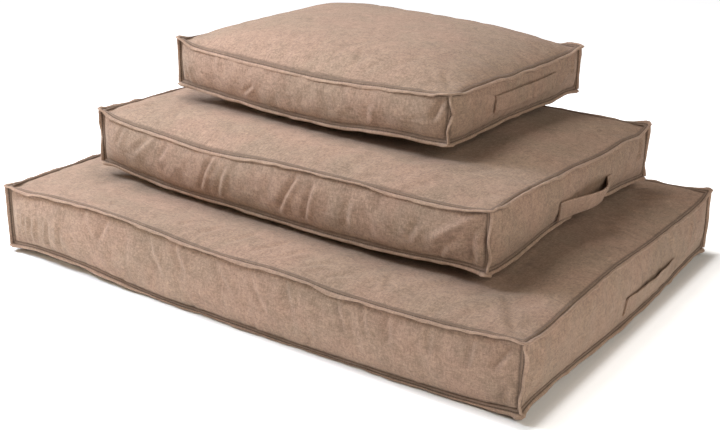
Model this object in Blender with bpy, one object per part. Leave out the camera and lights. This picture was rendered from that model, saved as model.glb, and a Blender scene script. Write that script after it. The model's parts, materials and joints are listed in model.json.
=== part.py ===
"""Pet cushion beds: a stacked set of three boxed cushion beds, small on medium on large.

Each bed is a sewn cover (top and bottom panels, four borders, raised flange welts along all
twelve seams), a carrying strap on the right short side, a coil zip across the back border,
an inner liner and a fibre core. Metres. The pile stands on Z = 0, centred on the origin,
the long side of the large bed along X, the front towards -Y.
"""

import math

import bpy
import numpy as np

# ---------------------------------------------------------------- driving dimensions (m)
FABRIC = 0.0016  # thickness of the cover cloth, with its backing
FIN_REACH = 0.0085  # how far a welt stands out from its seam, along each of its two axes
FIN_HALF = 0.0022  # half the thickness of a welt
GAP = 0.0004  # clearance between sewn neighbours
REST_GAP = 0.0005  # clearance between two beds of the pile
LINER_IN = 0.0042  # liner's outer face, in from the cover's outer face
LINER_T = 0.0012
CORE_IN = 0.0060  # core's face, in from the cover's outer face
BOW = 0.005  # how far the front and sides bow out in plan
ZIP_SLOT = 0.010
ZIP_SHARE = 0.70  # zip length as a share of the bed's width
TAPE_W, TAPE_T = 0.030, 0.0008
COIL_W, COIL_T = 0.0055, 0.0024
STRAP_T = 0.003

# width, depth: over the welt tips at the corners. low and high: welt tips at the corners, above the
# bed's own base plane. crown: top of the filled cushion. drop_top, drop_low: how much lower the
# seams hang at mid side. strap: y from, y to, z from, z to, stand-off. turn: rotation in the pile.
BEDS = {
    "large": dict(width=1.2000, depth=0.8570, low=0.010, high=0.145, crown=0.1570,
                  at=(0.0, 0.0), turn=0.0, bulge=0.012, drop_top=0.008, drop_low=0.007,
                  strap=(-0.036, 0.192, 0.0385, 0.0765, 0.010)),
    "medium": dict(width=0.9518, depth=0.6444, low=0.010, high=0.129, crown=0.1490,
                   at=(-0.0078, 0.0492), turn=-0.038, bulge=0.012, drop_top=0.008, drop_low=0.005,
                   strap=(-0.085, 0.121, 0.0420, 0.0780, 0.026)),
    "small": dict(width=0.6900, depth=0.5090, low=0.014, high=0.1165, crown=0.1390,
                  at=(-0.0510, 0.1350), turn=-0.046, bulge=0.010, drop_top=0.006, drop_low=0.005,
                  strap=(-0.112, 0.125, 0.0500, 0.0840, 0.011)),
}

U = (-1.0, -0.80, -0.42, 0.0, 0.42, 0.80, 1.0)  # stations across a bed
V = (-1.0, -0.74, -0.34, 0.34, 0.74, 1.0)  # stations from front to back
H = (0.0, 0.25, 0.5, 0.75, 1.0)  # stations up a border

CLOTH = (0.50, 0.385, 0.30, 1.0)
SHADES = {
    "top_panel": (0.55, 0.43, 0.335, 1.0), "bottom_panel": (0.42, 0.32, 0.25, 1.0),
    "front_border": CLOTH, "left_border": CLOTH, "right_border": CLOTH,
    "back_border_upper": CLOTH, "back_border_lower": CLOTH,
    "top_welt": (0.60, 0.47, 0.37, 1.0), "bottom_welt": (0.56, 0.44, 0.345, 1.0),
    "corner_welt_front_left": (0.60, 0.47, 0.37, 1.0), "corner_welt_front_right": (0.60, 0.47, 0.37, 1.0),
    "corner_welt_back_left": (0.60, 0.47, 0.37, 1.0), "corner_welt_back_right": (0.60, 0.47, 0.37, 1.0),
    "handle_strap": (0.47, 0.36, 0.28, 1.0), "zip_tape": (0.33, 0.25, 0.19, 1.0),
    "zip_coil": (0.25, 0.19, 0.145, 1.0), "zip_slider": (0.30, 0.27, 0.24, 1.0),
    "zip_pull": (0.34, 0.31, 0.28, 1.0), "inner_liner": (0.86, 0.85, 0.82, 1.0),
    "fill_core": (0.93, 0.93, 0.92, 1.0),
}
METAL = ("zip_slider", "zip_pull")


def clear_scene():
    for obj in list(bpy.data.objects):
        bpy.data.objects.remove(obj, do_unlink=True)
    for mesh in list(bpy.data.meshes):
        bpy.data.meshes.remove(mesh)


def material(name):
    mat = bpy.data.materials.get(name) or bpy.data.materials.new(name)
    mat.use_nodes = True
    shader = mat.node_tree.nodes["Principled BSDF"]
    part = name.split("_", 1)[1]
    shader.inputs["Base Color"].default_value = SHADES[part]
    shader.inputs["Metallic"].default_value = 0.9 if part in METAL else 0.0
    shader.inputs["Roughness"].default_value = 0.4 if part in METAL else 0.9
    mat.diffuse_color = SHADES[part]
    return mat


def make(name, verts, faces, parent, origin=(0.0, 0.0, 0.0)):
    """One object, its origin at the given point of the bed's frame."""
    verts = np.asarray(verts, float) - np.asarray(origin, float)
    mesh = bpy.data.meshes.new(name)
    mesh.from_pydata([tuple(v) for v in verts], [], [tuple(int(i) for i in f) for f in faces])
    mesh.validate()
    mesh.materials.append(material(name))
    obj = bpy.data.objects.new(name, mesh)
    bpy.context.scene.collection.objects.link(obj)
    obj.parent = parent
    obj.location = origin
    return obj


def facing_out(verts, faces):
    """The faces, turned round if the closed mesh encloses a negative volume."""
    verts = np.asarray(verts, float)
    total = 0.0
    for f in faces:
        for i in range(1, len(f) - 1):
            total += np.dot(verts[f[0]], np.cross(verts[f[i]], verts[f[i + 1]]))
    return [tuple(f) for f in faces] if total > 0 else [tuple(reversed(f)) for f in faces]


def halves(a, b, c, d, same):
    """A quad as two triangles, split along a-c or b-d, so that a domed face stays domed."""
    return [(a, b, c), (a, c, d)] if same else [(a, b, d), (b, c, d)]


def sides_of(stations):
    """Which side of the middle each step between stations lies on."""
    middle = (stations[0] + stations[-1]) / 2
    return [1 if (p + q) / 2 > middle else -1 for p, q in zip(stations, stations[1:])]


def slab(outer, inner, row_side, col_side):
    """A closed sheet between two grids of points of the same shape (rows, columns, 3)."""
    rows, cols = outer.shape[:2]
    verts = np.concatenate([outer.reshape(-1, 3), inner.reshape(-1, 3)])
    n = rows * cols
    faces = []
    for i in range(rows - 1):
        for j in range(cols - 1):
            a, b, c, d = i * cols + j, i * cols + j + 1, (i + 1) * cols + j + 1, (i + 1) * cols + j
            for f in halves(a, b, c, d, row_side[i] == col_side[j]):
                faces.append(f)
                faces.append(tuple(n + k for k in reversed(f)))
    rim = [(0, j) for j in range(cols)] + [(i, cols - 1) for i in range(1, rows)]
    rim += [(rows - 1, j) for j in range(cols - 2, -1, -1)] + [(i, 0) for i in range(rows - 2, 0, -1)]
    index = [i * cols + j for i, j in rim]
    for k, a in enumerate(index):
        b = index[(k + 1) % len(index)]
        faces.append((b, a, n + a, n + b))
    return verts, facing_out(verts, faces)


class Bed:
    """The shape of one boxed cushion, in its own frame: base plane at z = 0, centred in x and y."""

    def __init__(self, name, spec):
        self.name, self.spec = name, spec
        self.a = spec["width"] / 2 - FIN_REACH
        self.b = spec["depth"] / 2 - FIN_REACH
        self.zb = spec["low"] + FIN_REACH
        self.zt = spec["high"] - FIN_REACH
        self.zip_z = (self.zb - spec["drop_low"] + self.zt - spec["drop_top"]) / 2
        self.zip_half = ZIP_SHARE * spec["width"] / 2

    @staticmethod
    def dome(t):
        return 1 - abs(t) ** 2.5

    @staticmethod
    def along_edge(u, v):
        """1 at the middle of a side, 0 at the corners and well inside."""
        return (1 - u * u) * abs(v) ** 6 + (1 - v * v) * abs(u) ** 6

    def top(self, u, v):
        rise = self.spec["crown"] - self.zt
        z = self.zt + 1.30 * rise * self.dome(u) * self.dome(v) - self.spec["drop_top"] * self.along_edge(u, v)
        return min(z, self.spec["crown"])

    def low(self, u, v):
        z = self.zb - 1.35 * self.zb * self.dome(u) * self.dome(v) - self.spec["drop_low"] * self.along_edge(u, v)
        return max(z, 0.0)

    def bulge(self, s, h, back=False):
        return self.spec["bulge"] * (1 - abs(s) ** (16 if back else 8)) * 4 * h * (1 - h)

    def half_x(self, v):
        return self.a + BOW * (1 - v * v)

    def half_y(self, u, front):
        return self.b + (BOW * (1 - u * u) if front else 0.0)

    def plan(self, u, v, inset=0.0):
        return (
            u * (self.half_x(v) - inset),
            v * (self.half_y(u, v < 0) - inset),
        )

    def edge_span(self, u, v):
        """Bottom and top of a border where it meets the panels."""
        return self.low(u, v) + FABRIC + GAP, self.top(u, v) - FABRIC - GAP

    def share(self, u, v, z):
        lo, hi = self.edge_span(u, v)
        return min(max((z - lo) / (hi - lo), 0.0), 1.0)

    # ------------------------------------------------------------ panels
    def panel(self, upper):
        grid = np.array([
            [(*self.plan(u, v), self.top(u, v) if upper else self.low(u, v)) for u in U] for v in V
        ])
        inner = grid.copy()
        inner[:, :, 2] += -FABRIC if upper else FABRIC
        return slab(grid, inner, sides_of(V), sides_of(U))

    # ------------------------------------------------------------ borders
    def border(self, side):
        """Front, left or right border as one slab."""
        outer, inner = [], []
        stations = U if side == "front" else V
        for s in stations:
            u, v = (s, -1.0) if side == "front" else ((1.0 if side == "right" else -1.0), s)
            lo, hi = self.edge_span(u, v)
            row_o, row_i = [], []
            for h in H:
                z = lo + (hi - lo) * h
                out = self.bulge(s, h)
                if side == "front":
                    x, y = self.a * s, -(self.half_y(s, True) + out)
                    row_o.append((x, y, z))
                    row_i.append((x, y + FABRIC, z))
                else:
                    sign = u
                    limit = self.b - FABRIC - GAP
                    y = max(min(self.b * s, limit), -limit)
                    x = sign * (self.half_x(s) + out)
                    row_o.append((x, y, z))
                    row_i.append((x - sign * FABRIC, y, z))
            outer.append(row_o)
            inner.append(row_i)
        return slab(np.array(outer), np.array(inner), sides_of(stations), sides_of(H))

    def back_y(self, x, z):
        """Outer face of the back border."""
        s = x / self.a
        return self.b + self.bulge(s, self.share(s, 1.0, z), back=True)

    def back_strip(self, upper):
        half = self.zip_half
        step = 0.001
        xs = sorted({round(self.a * u, 6) for u in U} | {-half, -half - step, half, half + step})
        outer, inner = [], []
        for x in xs:
            u = x / self.a
            lo, hi = self.edge_span(u, 1.0)
            part = ZIP_SLOT / 2 if abs(x) <= half + 1e-9 else 0.0002
            z0, z1 = (self.zip_z + part, hi) if upper else (lo, self.zip_z - part)
            rows = [z0 + (z1 - z0) * t for t in (0.0, 0.33, 0.67, 1.0)]
            outer.append([(x, self.back_y(x, z), z) for z in rows])
            inner.append([(x, self.back_y(x, z) - FABRIC, z) for z in rows])
        return slab(np.array(outer), np.array(inner), sides_of(xs), [1 if upper else -1] * 3)

    # ------------------------------------------------------------ welts
    @staticmethod
    def fin_profile():
        """The welt's section: (outward, onward) from the seam, a flat tongue with a round tip."""
        c = FIN_REACH - FIN_HALF
        k = FIN_HALF * math.sqrt(0.5)
        over, under = 0.0013, -0.0020
        return [
            (over - 2 * k, over), (GAP, over), (GAP, under), (2 * k + under, under),
            (c + k, c - k), (c + FIN_HALF, c), (c + k, c + k), (c, c + FIN_HALF), (c - k, c + k),
        ]

    def ring_welt(self, upper):
        """A flange round the whole top or bottom seam, mitred at the corners."""
        path = [(u, -1.0) for u in U[:-1]] + [(1.0, v) for v in V[:-1]]
        path += [(u, 1.0) for u in reversed(U[1:])] + [(-1.0, v) for v in reversed(V[1:])]
        profile = self.fin_profile()
        up = 1.0 if upper else -1.0
        verts = []
        for u, v in path:
            x, y = self.plan(u, v)
            z = self.top(u, v) if upper else self.low(u, v)
            ox = math.copysign(1.0, u) if abs(u) == 1.0 else 0.0
            oy = math.copysign(1.0, v) if abs(v) == 1.0 else 0.0
            verts += [(x + ox * o, y + oy * o, z + up * n) for o, n in profile]
        m, n = len(path), len(profile)
        faces = [
            (i * n + j, i * n + (j + 1) % n, ((i + 1) % m) * n + (j + 1) % n, ((i + 1) % m) * n + j)
            for i in range(m) for j in range(n)
        ]
        return np.array(verts), facing_out(verts, faces)

    def corner_welt(self, sx, sy):
        """An upright flange where two borders meet, cut off under the two rings."""
        profile = self.fin_profile()
        verts = []
        for upper in (False, True):
            for o, n in profile:
                lean = (o + n) / 2 - 0.0038
                z = self.zt + lean if upper else self.zb - lean
                verts.append((sx * (self.a + o), sy * (self.b + n), z))
        n = len(profile)
        faces = [(j, (j + 1) % n, n + (j + 1) % n, n + j) for j in range(n)]
        faces += [tuple(range(n - 1, -1, -1)), tuple(range(n, 2 * n))]
        return np.array(verts), facing_out(verts, faces)

    # ------------------------------------------------------------ strap
    def strap_face(self, z):
        """x of the strap's inner face where it is sewn down, at height z."""
        y0, y1 = self.spec["strap"][:2]
        best = 0.0
        for k in range(13):
            s = (y0 + (y1 - y0) * k / 12) / self.b
            best = max(best, self.half_x(s) + self.bulge(s, self.share(1.0, s, z)))
        return best + GAP

    def strap(self):
        y0, y1, z0, z1, stand = self.spec["strap"]
        outer, inner = [], []
        zs = [z0 + (z1 - z0) * j / 3 for j in range(4)]
        face = [self.strap_face(z) for z in zs]
        for k in range(15):
            t = -1 + 2 * k / 14
            y = (y0 + y1) / 2 + t * (y1 - y0) / 2
            arch = (1 - (t / 0.86) ** 2) ** 1.5 if abs(t) < 0.86 else 0.0
            upright = min(1.0, 2.5 * arch)
            xs = [f + upright * (max(face) - f) + arch * stand for f in face]
            inner.append([(x, y, z) for x, z in zip(xs, zs)])
            outer.append([(x + STRAP_T, y, z) for x, z in zip(xs, zs)])
        return slab(np.array(outer), np.array(inner), [-1] * 7 + [1] * 7, [-1, 1, 1]), (self.strap_face(z1), (y0 + y1) / 2, z1)

    # ------------------------------------------------------------ zip
    def zip_tape(self):
        half = self.zip_half + 0.015
        xs = sorted({round(self.a * u, 6) for u in U if abs(self.a * u) < half} | {-half, half})
        outer, inner = [], []
        for x in xs:
            zs = [self.zip_z + TAPE_W * t for t in (-0.5, -0.17, 0.17, 0.5)]
            y = [self.back_y(x, z) - FABRIC - 0.00045 for z in zs]
            outer.append([(x, yy, z) for yy, z in zip(y, zs)])
            inner.append([(x, yy - TAPE_T, z) for yy, z in zip(y, zs)])
        return slab(np.array(outer), np.array(inner), sides_of(xs), [-1, 1, 1])

    def zip_face(self):
        """y of the cover's outer face along the zip."""
        return self.back_y(0.0, self.zip_z)

    def zip_coil(self):
        half = self.zip_half - 0.0004
        y0 = self.zip_face() - FABRIC - 0.00045 + 0.0003
        verts, rows = [], 0
        for x in (-half, half):
            for z, y in ((-1, 0), (1, 0), (1, 0.7), (0.6, 1), (-0.6, 1), (-1, 0.7)):
                verts.append((x, y0 + y * COIL_T, self.zip_z + z * COIL_W / 2))
        n = 6
        faces = [(j, (j + 1) % n, n + (j + 1) % n, n + j) for j in range(n)]
        faces += [tuple(range(n - 1, -1, -1)), tuple(range(n, 2 * n))]
        return np.array(verts), facing_out(verts, faces)

    def slider_at(self):
        """Middle of the slider's outer plate, with the zip closed."""
        return (self.zip_half - 0.009, self.zip_face() + 0.0022, self.zip_z)

    def zip_slider(self):
        """A channel that straddles the coil. Its lug is joined on by a Boolean."""
        x, y, z = self.slider_at()
        section = [(-4.4, 0), (4.4, 0), (4.4, -3.3), (3.15, -3.3), (3.15, -1.2), (-3.15, -1.2), (-3.15, -3.3), (-4.4, -3.3)]
        verts = [(x + sx * 0.0065, y + q * 1e-3, z + p * 1e-3) for sx in (-1, 1) for p, q in section]
        n = len(section)
        faces = [(j, (j + 1) % n, n + (j + 1) % n, n + j) for j in range(n)]
        faces += [tuple(range(n - 1, -1, -1)), tuple(range(n, 2 * n))]
        lug = [(-3, -0.5), (-2, -0.5), (-2, 2.8), (2, 2.8), (2, -0.5), (3, -0.5), (3, 3.8), (-3, 3.8)]
        lverts = [(x + p * 1e-3, y + q * 1e-3, z + sz * 0.0012) for sz in (-1, 1) for p, q in lug]
        lfaces = [(j, (j + 1) % n, n + (j + 1) % n, n + j) for j in range(n)]
        lfaces += [tuple(range(n - 1, -1, -1)), tuple(range(n, 2 * n))]
        return (np.array(verts), facing_out(verts, faces)), (np.array(lverts), facing_out(lverts, lfaces))

    def zip_pull(self):
        """A flat tab with a square eye. It hangs on the lug and turns about an axis along z."""
        x, y, z = self.slider_at()
        axis = (x, y + 0.0014, z)
        mm = 1e-3
        flat = [(-0.7, -3.5), (6.0, -3.5), (6.0, 3.5), (-0.7, 3.5)]
        hole = [(0.7, -1.6), (4.4, -1.6), (4.4, 1.6), (0.7, 1.6)]
        end = [(22.5, -3.5), (25.3, -1.6), (25.3, 1.6), (22.5, 3.5)]
        points = flat + hole + end
        n = len(points)
        verts = [(axis[0] + p * mm, axis[1] + s * 0.7 * mm, axis[2] + q * mm) for s in (-1, 1) for p, q in points]
        faces = []
        for base, flip in ((0, False), (n, True)):
            quads = [(0, 1, 5, 4), (1, 2, 6, 5), (2, 3, 7, 6), (3, 0, 4, 7), (1, 8, 9, 10, 11, 2)]
            for q in quads:
                q = tuple(base + i for i in q)
                faces.append(tuple(reversed(q)) if flip else q)
        outer = [0, 1, 8, 9, 10, 11, 2, 3]
        for k, i in enumerate(outer):
            j = outer[(k + 1) % len(outer)]
            faces.append((j, i, n + i, n + j))
        for k in range(4):
            i, j = 4 + k, 4 + (k + 1) % 4
            faces.append((i, j, n + j, n + i))
        return (np.array(verts), facing_out(verts, faces)), axis

    # ------------------------------------------------------------ liner and core
    def pillow(self, inset, flip, base):
        """The closed boxed shape, set in from the cover's outer face. The lattice is shared by its sides."""
        hs = (0.0, 0.3, 0.7, 1.0)
        index, verts = {}, []

        def point(i, j, k):
            key = (i, j, k)
            if key in index:
                return index[key]
            u, v, h = U[i], V[j], hs[k]
            x, y = self.plan(u, v, inset)
            lo, hi = self.low(u, v) + inset, self.top(u, v) - inset
            z = lo + (hi - lo) * h
            if abs(u) == 1.0 and abs(v) < 1.0:
                x += u * self.bulge(v, h)
            if abs(v) == 1.0 and abs(u) < 1.0:
                y += v * self.bulge(u, h, back=v > 0)
            index[key] = base + len(verts)
            verts.append((x, y, z))
            return index[key]

        nu, nv, nh = len(U) - 1, len(V) - 1, len(hs) - 1
        su, sv, sh = sides_of(U), sides_of(V), sides_of(hs)
        faces, mouth = [], []
        for i in range(nu):
            for j in range(nv):
                same = su[i] == sv[j]
                faces += halves(point(i, j, nh), point(i + 1, j, nh), point(i + 1, j + 1, nh), point(i, j + 1, nh), same)
                faces += halves(point(i, j, 0), point(i, j + 1, 0), point(i + 1, j + 1, 0), point(i + 1, j, 0), same)
        for i in range(nu):
            for k in range(nh):
                same = su[i] == sh[k]
                faces += halves(point(i, 0, k), point(i + 1, 0, k), point(i + 1, 0, k + 1), point(i, 0, k + 1), same)
                back = halves(point(i, nv, k), point(i, nv, k + 1), point(i + 1, nv, k + 1), point(i + 1, nv, k), same)
                if k == 1 and i in (2, 3):
                    mouth += back
                else:
                    faces += back
        for j in range(nv):
            for k in range(nh):
                same = sv[j] == sh[k]
                faces += halves(point(0, j, k), point(0, j, k + 1), point(0, j + 1, k + 1), point(0, j + 1, k), same)
                faces += halves(point(nu, j, k), point(nu, j + 1, k), point(nu, j + 1, k + 1), point(nu, j, k + 1), same)
        ring = [point(2, nv, 1), point(3, nv, 1), point(4, nv, 1), point(4, nv, 2), point(3, nv, 2), point(2, nv, 2)]
        if flip:
            faces = [list(reversed(f)) for f in faces]
            mouth = [list(reversed(f)) for f in mouth]
        return verts, faces, mouth, ring

    def core(self):
        verts, faces, mouth, _ = self.pillow(CORE_IN, False, 0)
        return np.array(verts), facing_out(verts, faces + mouth)

    def liner(self):
        """A thin bag, open at its mouth behind the zip."""
        verts, faces, _, ring = self.pillow(LINER_IN, False, 0)
        verts2, faces2, _, ring2 = self.pillow(LINER_IN + LINER_T, True, len(verts))
        wall = [(ring[(k + 1) % 6], ring[k], ring2[k], ring2[(k + 1) % 6]) for k in range(6)]
        return np.array(verts + verts2), facing_out(verts + verts2, faces + faces2 + wall)


def build_bed(name, spec, base_z):
    """Every part of one bed, held by an empty that places the bed in the pile."""
    bed = Bed(name, spec)
    root = bpy.data.objects.new(name + "_bed_frame", None)
    bpy.context.scene.collection.objects.link(root)
    root.location = (spec["at"][0], spec["at"][1], base_z)
    root.rotation_euler = (0.0, 0.0, spec["turn"])
    made = []

    def add(part, shape, origin=(0.0, 0.0, 0.0)):
        obj = make(f"{name}_{part}", shape[0], shape[1], root, origin)
        made.append(obj)
        return obj

    add("top_panel", bed.panel(True))
    add("bottom_panel", bed.panel(False))
    for side in ("front", "left", "right"):
        add(side + "_border", bed.border(side))
    add("back_border_upper", bed.back_strip(True))
    add("back_border_lower", bed.back_strip(False))
    add("top_welt", bed.ring_welt(True))
    add("bottom_welt", bed.ring_welt(False))
    for label, sx, sy in (("front_left", -1, -1), ("front_right", 1, -1), ("back_left", -1, 1), ("back_right", 1, 1)):
        add("corner_welt_" + label, bed.corner_welt(sx, sy))
    strap, hinge = bed.strap()
    add("handle_strap", strap, hinge)
    add("zip_tape", bed.zip_tape())
    add("zip_coil", bed.zip_coil())
    channel, lug = bed.zip_slider()
    at = bed.slider_at()
    slider = add("zip_slider", channel, at)
    helper = make(f"{name}_zip_slider", lug[0], lug[1], root, at)
    helper.name = name + "_zip_lug_helper"
    helper.hide_render = True
    helper.display_type = "WIRE"
    join = slider.modifiers.new("lug", "BOOLEAN")
    join.operation = "UNION"
    join.solver = "EXACT"
    join.object = helper
    pull, axis = bed.zip_pull()
    add("zip_pull", pull, axis)
    add("inner_liner", bed.liner())
    add("fill_core", bed.core())
    return root, made


def main():
    clear_scene()
    base, roots, parts = 0.0, [], []
    for name, spec in BEDS.items():
        root, made = build_bed(name, spec, base)
        roots.append(root)
        parts += made
        base += spec["crown"] + REST_GAP
    bpy.context.view_layer.update()
    corners = np.array([
        tuple(obj.matrix_world @ vert.co) for obj in parts for vert in obj.data.vertices
    ])
    centre = (corners.min(axis=0) + corners.max(axis=0)) / 2
    for root in roots:
        root.location.x -= centre[0]
        root.location.y -= centre[1]
    bpy.context.view_layer.update()
    for root in roots:
        print(root.name, [round(c, 5) for c in root.location], round(root.rotation_euler.z, 4))
    for obj in parts:
        if obj.name.endswith(("handle_strap", "zip_slider", "zip_pull")):
            print(obj.name, [round(c, 5) for c in obj.matrix_world.translation])


main()
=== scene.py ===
import json
import math

import bpy
import numpy as np
from mathutils import Matrix, Vector
from mathutils.bvhtree import BVHTree


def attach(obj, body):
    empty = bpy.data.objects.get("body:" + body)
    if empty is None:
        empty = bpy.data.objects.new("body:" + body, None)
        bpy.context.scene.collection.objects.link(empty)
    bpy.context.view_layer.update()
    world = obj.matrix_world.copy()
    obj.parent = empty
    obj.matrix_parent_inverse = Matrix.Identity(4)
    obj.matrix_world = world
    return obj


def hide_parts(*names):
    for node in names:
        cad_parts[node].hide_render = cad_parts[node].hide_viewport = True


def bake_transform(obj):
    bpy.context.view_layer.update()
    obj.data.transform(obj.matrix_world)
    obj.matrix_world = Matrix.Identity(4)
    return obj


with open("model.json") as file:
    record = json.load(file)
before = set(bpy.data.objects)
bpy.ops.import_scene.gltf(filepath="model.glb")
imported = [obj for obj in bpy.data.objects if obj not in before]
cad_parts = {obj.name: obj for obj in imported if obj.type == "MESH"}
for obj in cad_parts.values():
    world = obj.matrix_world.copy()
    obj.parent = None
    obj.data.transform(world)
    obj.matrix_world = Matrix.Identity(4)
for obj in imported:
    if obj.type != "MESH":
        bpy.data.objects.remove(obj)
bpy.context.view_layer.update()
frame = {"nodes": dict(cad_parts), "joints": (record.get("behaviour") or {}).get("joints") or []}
scene = bpy.context.scene

# ------------------------------------------------------------------ sizes, in metres
SHIFT = np.array([-0.00692, 0.00035])  # where part.py centres the pile
REACH = 0.0085
BOW = 0.006
MM = 0.001

# The seams' heights along each side, in millimetres from the straight line between that side's two corners:
# 21 stations from left to right on the front, from front to back on the right.
BEDS = {
    "large": dict(
        width=1.2000, depth=0.8570, low=0.010, high=0.145, crown=0.1570, base=0.0, at=(0.0, 0.0), turn=0.0,
        bulge=0.013, cell=0.0115, seed=11, ears=(0.15, 0.10, 0.75, 0.15),
        front_top=[0, 1, 7, 9, 11, 10, 8, 5, 0, -4, -5, -3, -2, -5, -9, -10, -10, -9, -7, -3, 0],
        front_low=[0, 6, 8, 7, 4, -1, -6, -9, -10, -9, -10, -11, -12, -12, -12, -11, -11, -10, -9, -6, 0],
        right_top=[0, -4, -2, 1, 4, 6, 8, 9, 10, 9, 6, 3, 1, 0, -1, -2, -4, -5, -6, -5, 0],
        right_low=[0, 6, 7, 7, 6, 5, 3, 1, -1, -2, -3, -4, -5, -5, -4, -2, 1, 3, 4, 3, 0],
        left_top=-2, back_top=-3, left_low=-6, back_low=-6,
        strap=(-0.040, 0.190, 0.0580, 0.0185),
    ),
    "medium": dict(
        width=0.9518, depth=0.6444, low=0.010, high=0.129, crown=0.1490, base=0.1575, at=(-0.0078, 0.0492),
        turn=-0.038, bulge=0.013, cell=0.0108, seed=23, ears=(0.30, 0.12, 0.30, 0.20),
        front_top=[0, -8, -12, -13, -15, -18, -20, -20, -17, -13, -10, -9, -9, -8, -8, -8, -9, -9, -8, -6, 0],
        front_low=[0, -3, -7, -10, -13, -14, -14, -13, -13, -13, -14, -14, -14, -14, -12, -11, -9, -6, -2, 1, 0],
        right_top=[0, 0, 3, 5, 6, 5, 5, 4, 4, 4, 2, 0, -2, -3, -3, -2, -1, -4, -7, -8, 0],
        right_low=[0, -3, -2, 1, 5, 10, 14, 17, 19, 20, 20, 20, 20, 19, 18, 16, 14, 11, 8, 4, 0],
        left_top=-3, back_top=-3, left_low=8, back_low=5,
        strap=(-0.096, 0.114, 0.0610, 0.018),
    ),
    "small": dict(
        width=0.6900, depth=0.5090, low=0.014, high=0.1165, crown=0.1390, base=0.3070, at=(-0.0510, 0.1350),
        turn=-0.046, bulge=0.011, cell=0.0095, seed=37, ears=(0.20, 0.12, 0.10, -0.35),
        front_top=[0, -7, -10, -10, -11, -12, -13, -13, -14, -15, -16, -16, -15, -14, -12, -10, -8, -7, -5, -4, 0],
        front_low=[0, -2, -4, -5, -7, -8, -10, -11, -12, -13, -13, -13, -13, -11, -8, -5, -2, -1, -1, -1, 0],
        right_top=[0, -3, -2, 0, 0, 0, 1, -1, -4, -3, -2, -3, -4, -3, -4, -4, -4, -4, -4, -3, 0],
        right_low=[0, 0, 0, 1, 2, 4, 5, 6, 7, 7, 7, 6, 6, 5, 4, 3, 3, 4, 5, 3, 0],
        left_top=-7, back_top=-8, left_low=5, back_low=3,
        strap=(-0.112, 0.125, 0.0670, 0.017),
    ),
}
ORDER = ("large", "medium", "small")
ZIP_SHARE, ZIP_SLOT = 0.70, 0.010


# ------------------------------------------------------------------ small numeric helpers
def smooth(t):
    t = np.clip(t, 0.0, 1.0)
    return t * t * (3 - 2 * t)


def hashed(i, seed):
    """A fixed pseudo-random number from 0 to 1 for each whole number."""
    x = np.sin(np.asarray(i, float) * 12.9898 + seed * 78.233) * 43758.5453
    return x - np.floor(x)


def noise1(x, seed):
    """Smooth noise from -1 to 1 along a line, one knot per unit."""
    x = np.asarray(x, float)
    i = np.floor(x)
    return (hashed(i, seed) * (1 - smooth(x - i)) + hashed(i + 1, seed) * smooth(x - i)) * 2 - 1


def noise2(x, y, seed):
    x, y = np.asarray(x, float), np.asarray(y, float)
    i, j = np.floor(x), np.floor(y)
    fx, fy = smooth(x - i), smooth(y - j)
    at = lambda a, b: hashed(a * 57.0 + b * 131.0, seed)
    low = at(i, j) * (1 - fx) + at(i + 1, j) * fx
    high = at(i, j + 1) * (1 - fx) + at(i + 1, j + 1) * fx
    return (low * (1 - fy) + high * fy) * 2 - 1


def spline(table, s):
    """A smooth curve through equally spaced heights (mm) for s from -1 to 1, or a shallow bow of one height."""
    s = np.asarray(s, float)
    if np.isscalar(table):
        return table * MM * (1 - s * s)
    y = np.array(table, float) * MM
    n = len(y) - 1
    x = np.clip((s + 1) / 2, 0, 1) * n
    i = np.clip(np.floor(x).astype(int), 0, n - 1)
    t = x - i
    p = np.pad(y, 1, mode="edge")
    a, b, c, d = p[i], p[i + 1], p[i + 2], p[i + 3]
    return b + 0.5 * t * (c - a + t * (2 * a - 5 * b + 4 * c - d + t * (3 * (b - c) + d - a)))


def soft_min(a, b, k):
    return -k * np.logaddexp(-a / k, -b / k)


def soft_max(a, b, k):
    return k * np.logaddexp(a / k, b / k)


def unit(v):
    return v / np.maximum(np.linalg.norm(v, axis=-1, keepdims=True), 1e-12)


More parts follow.
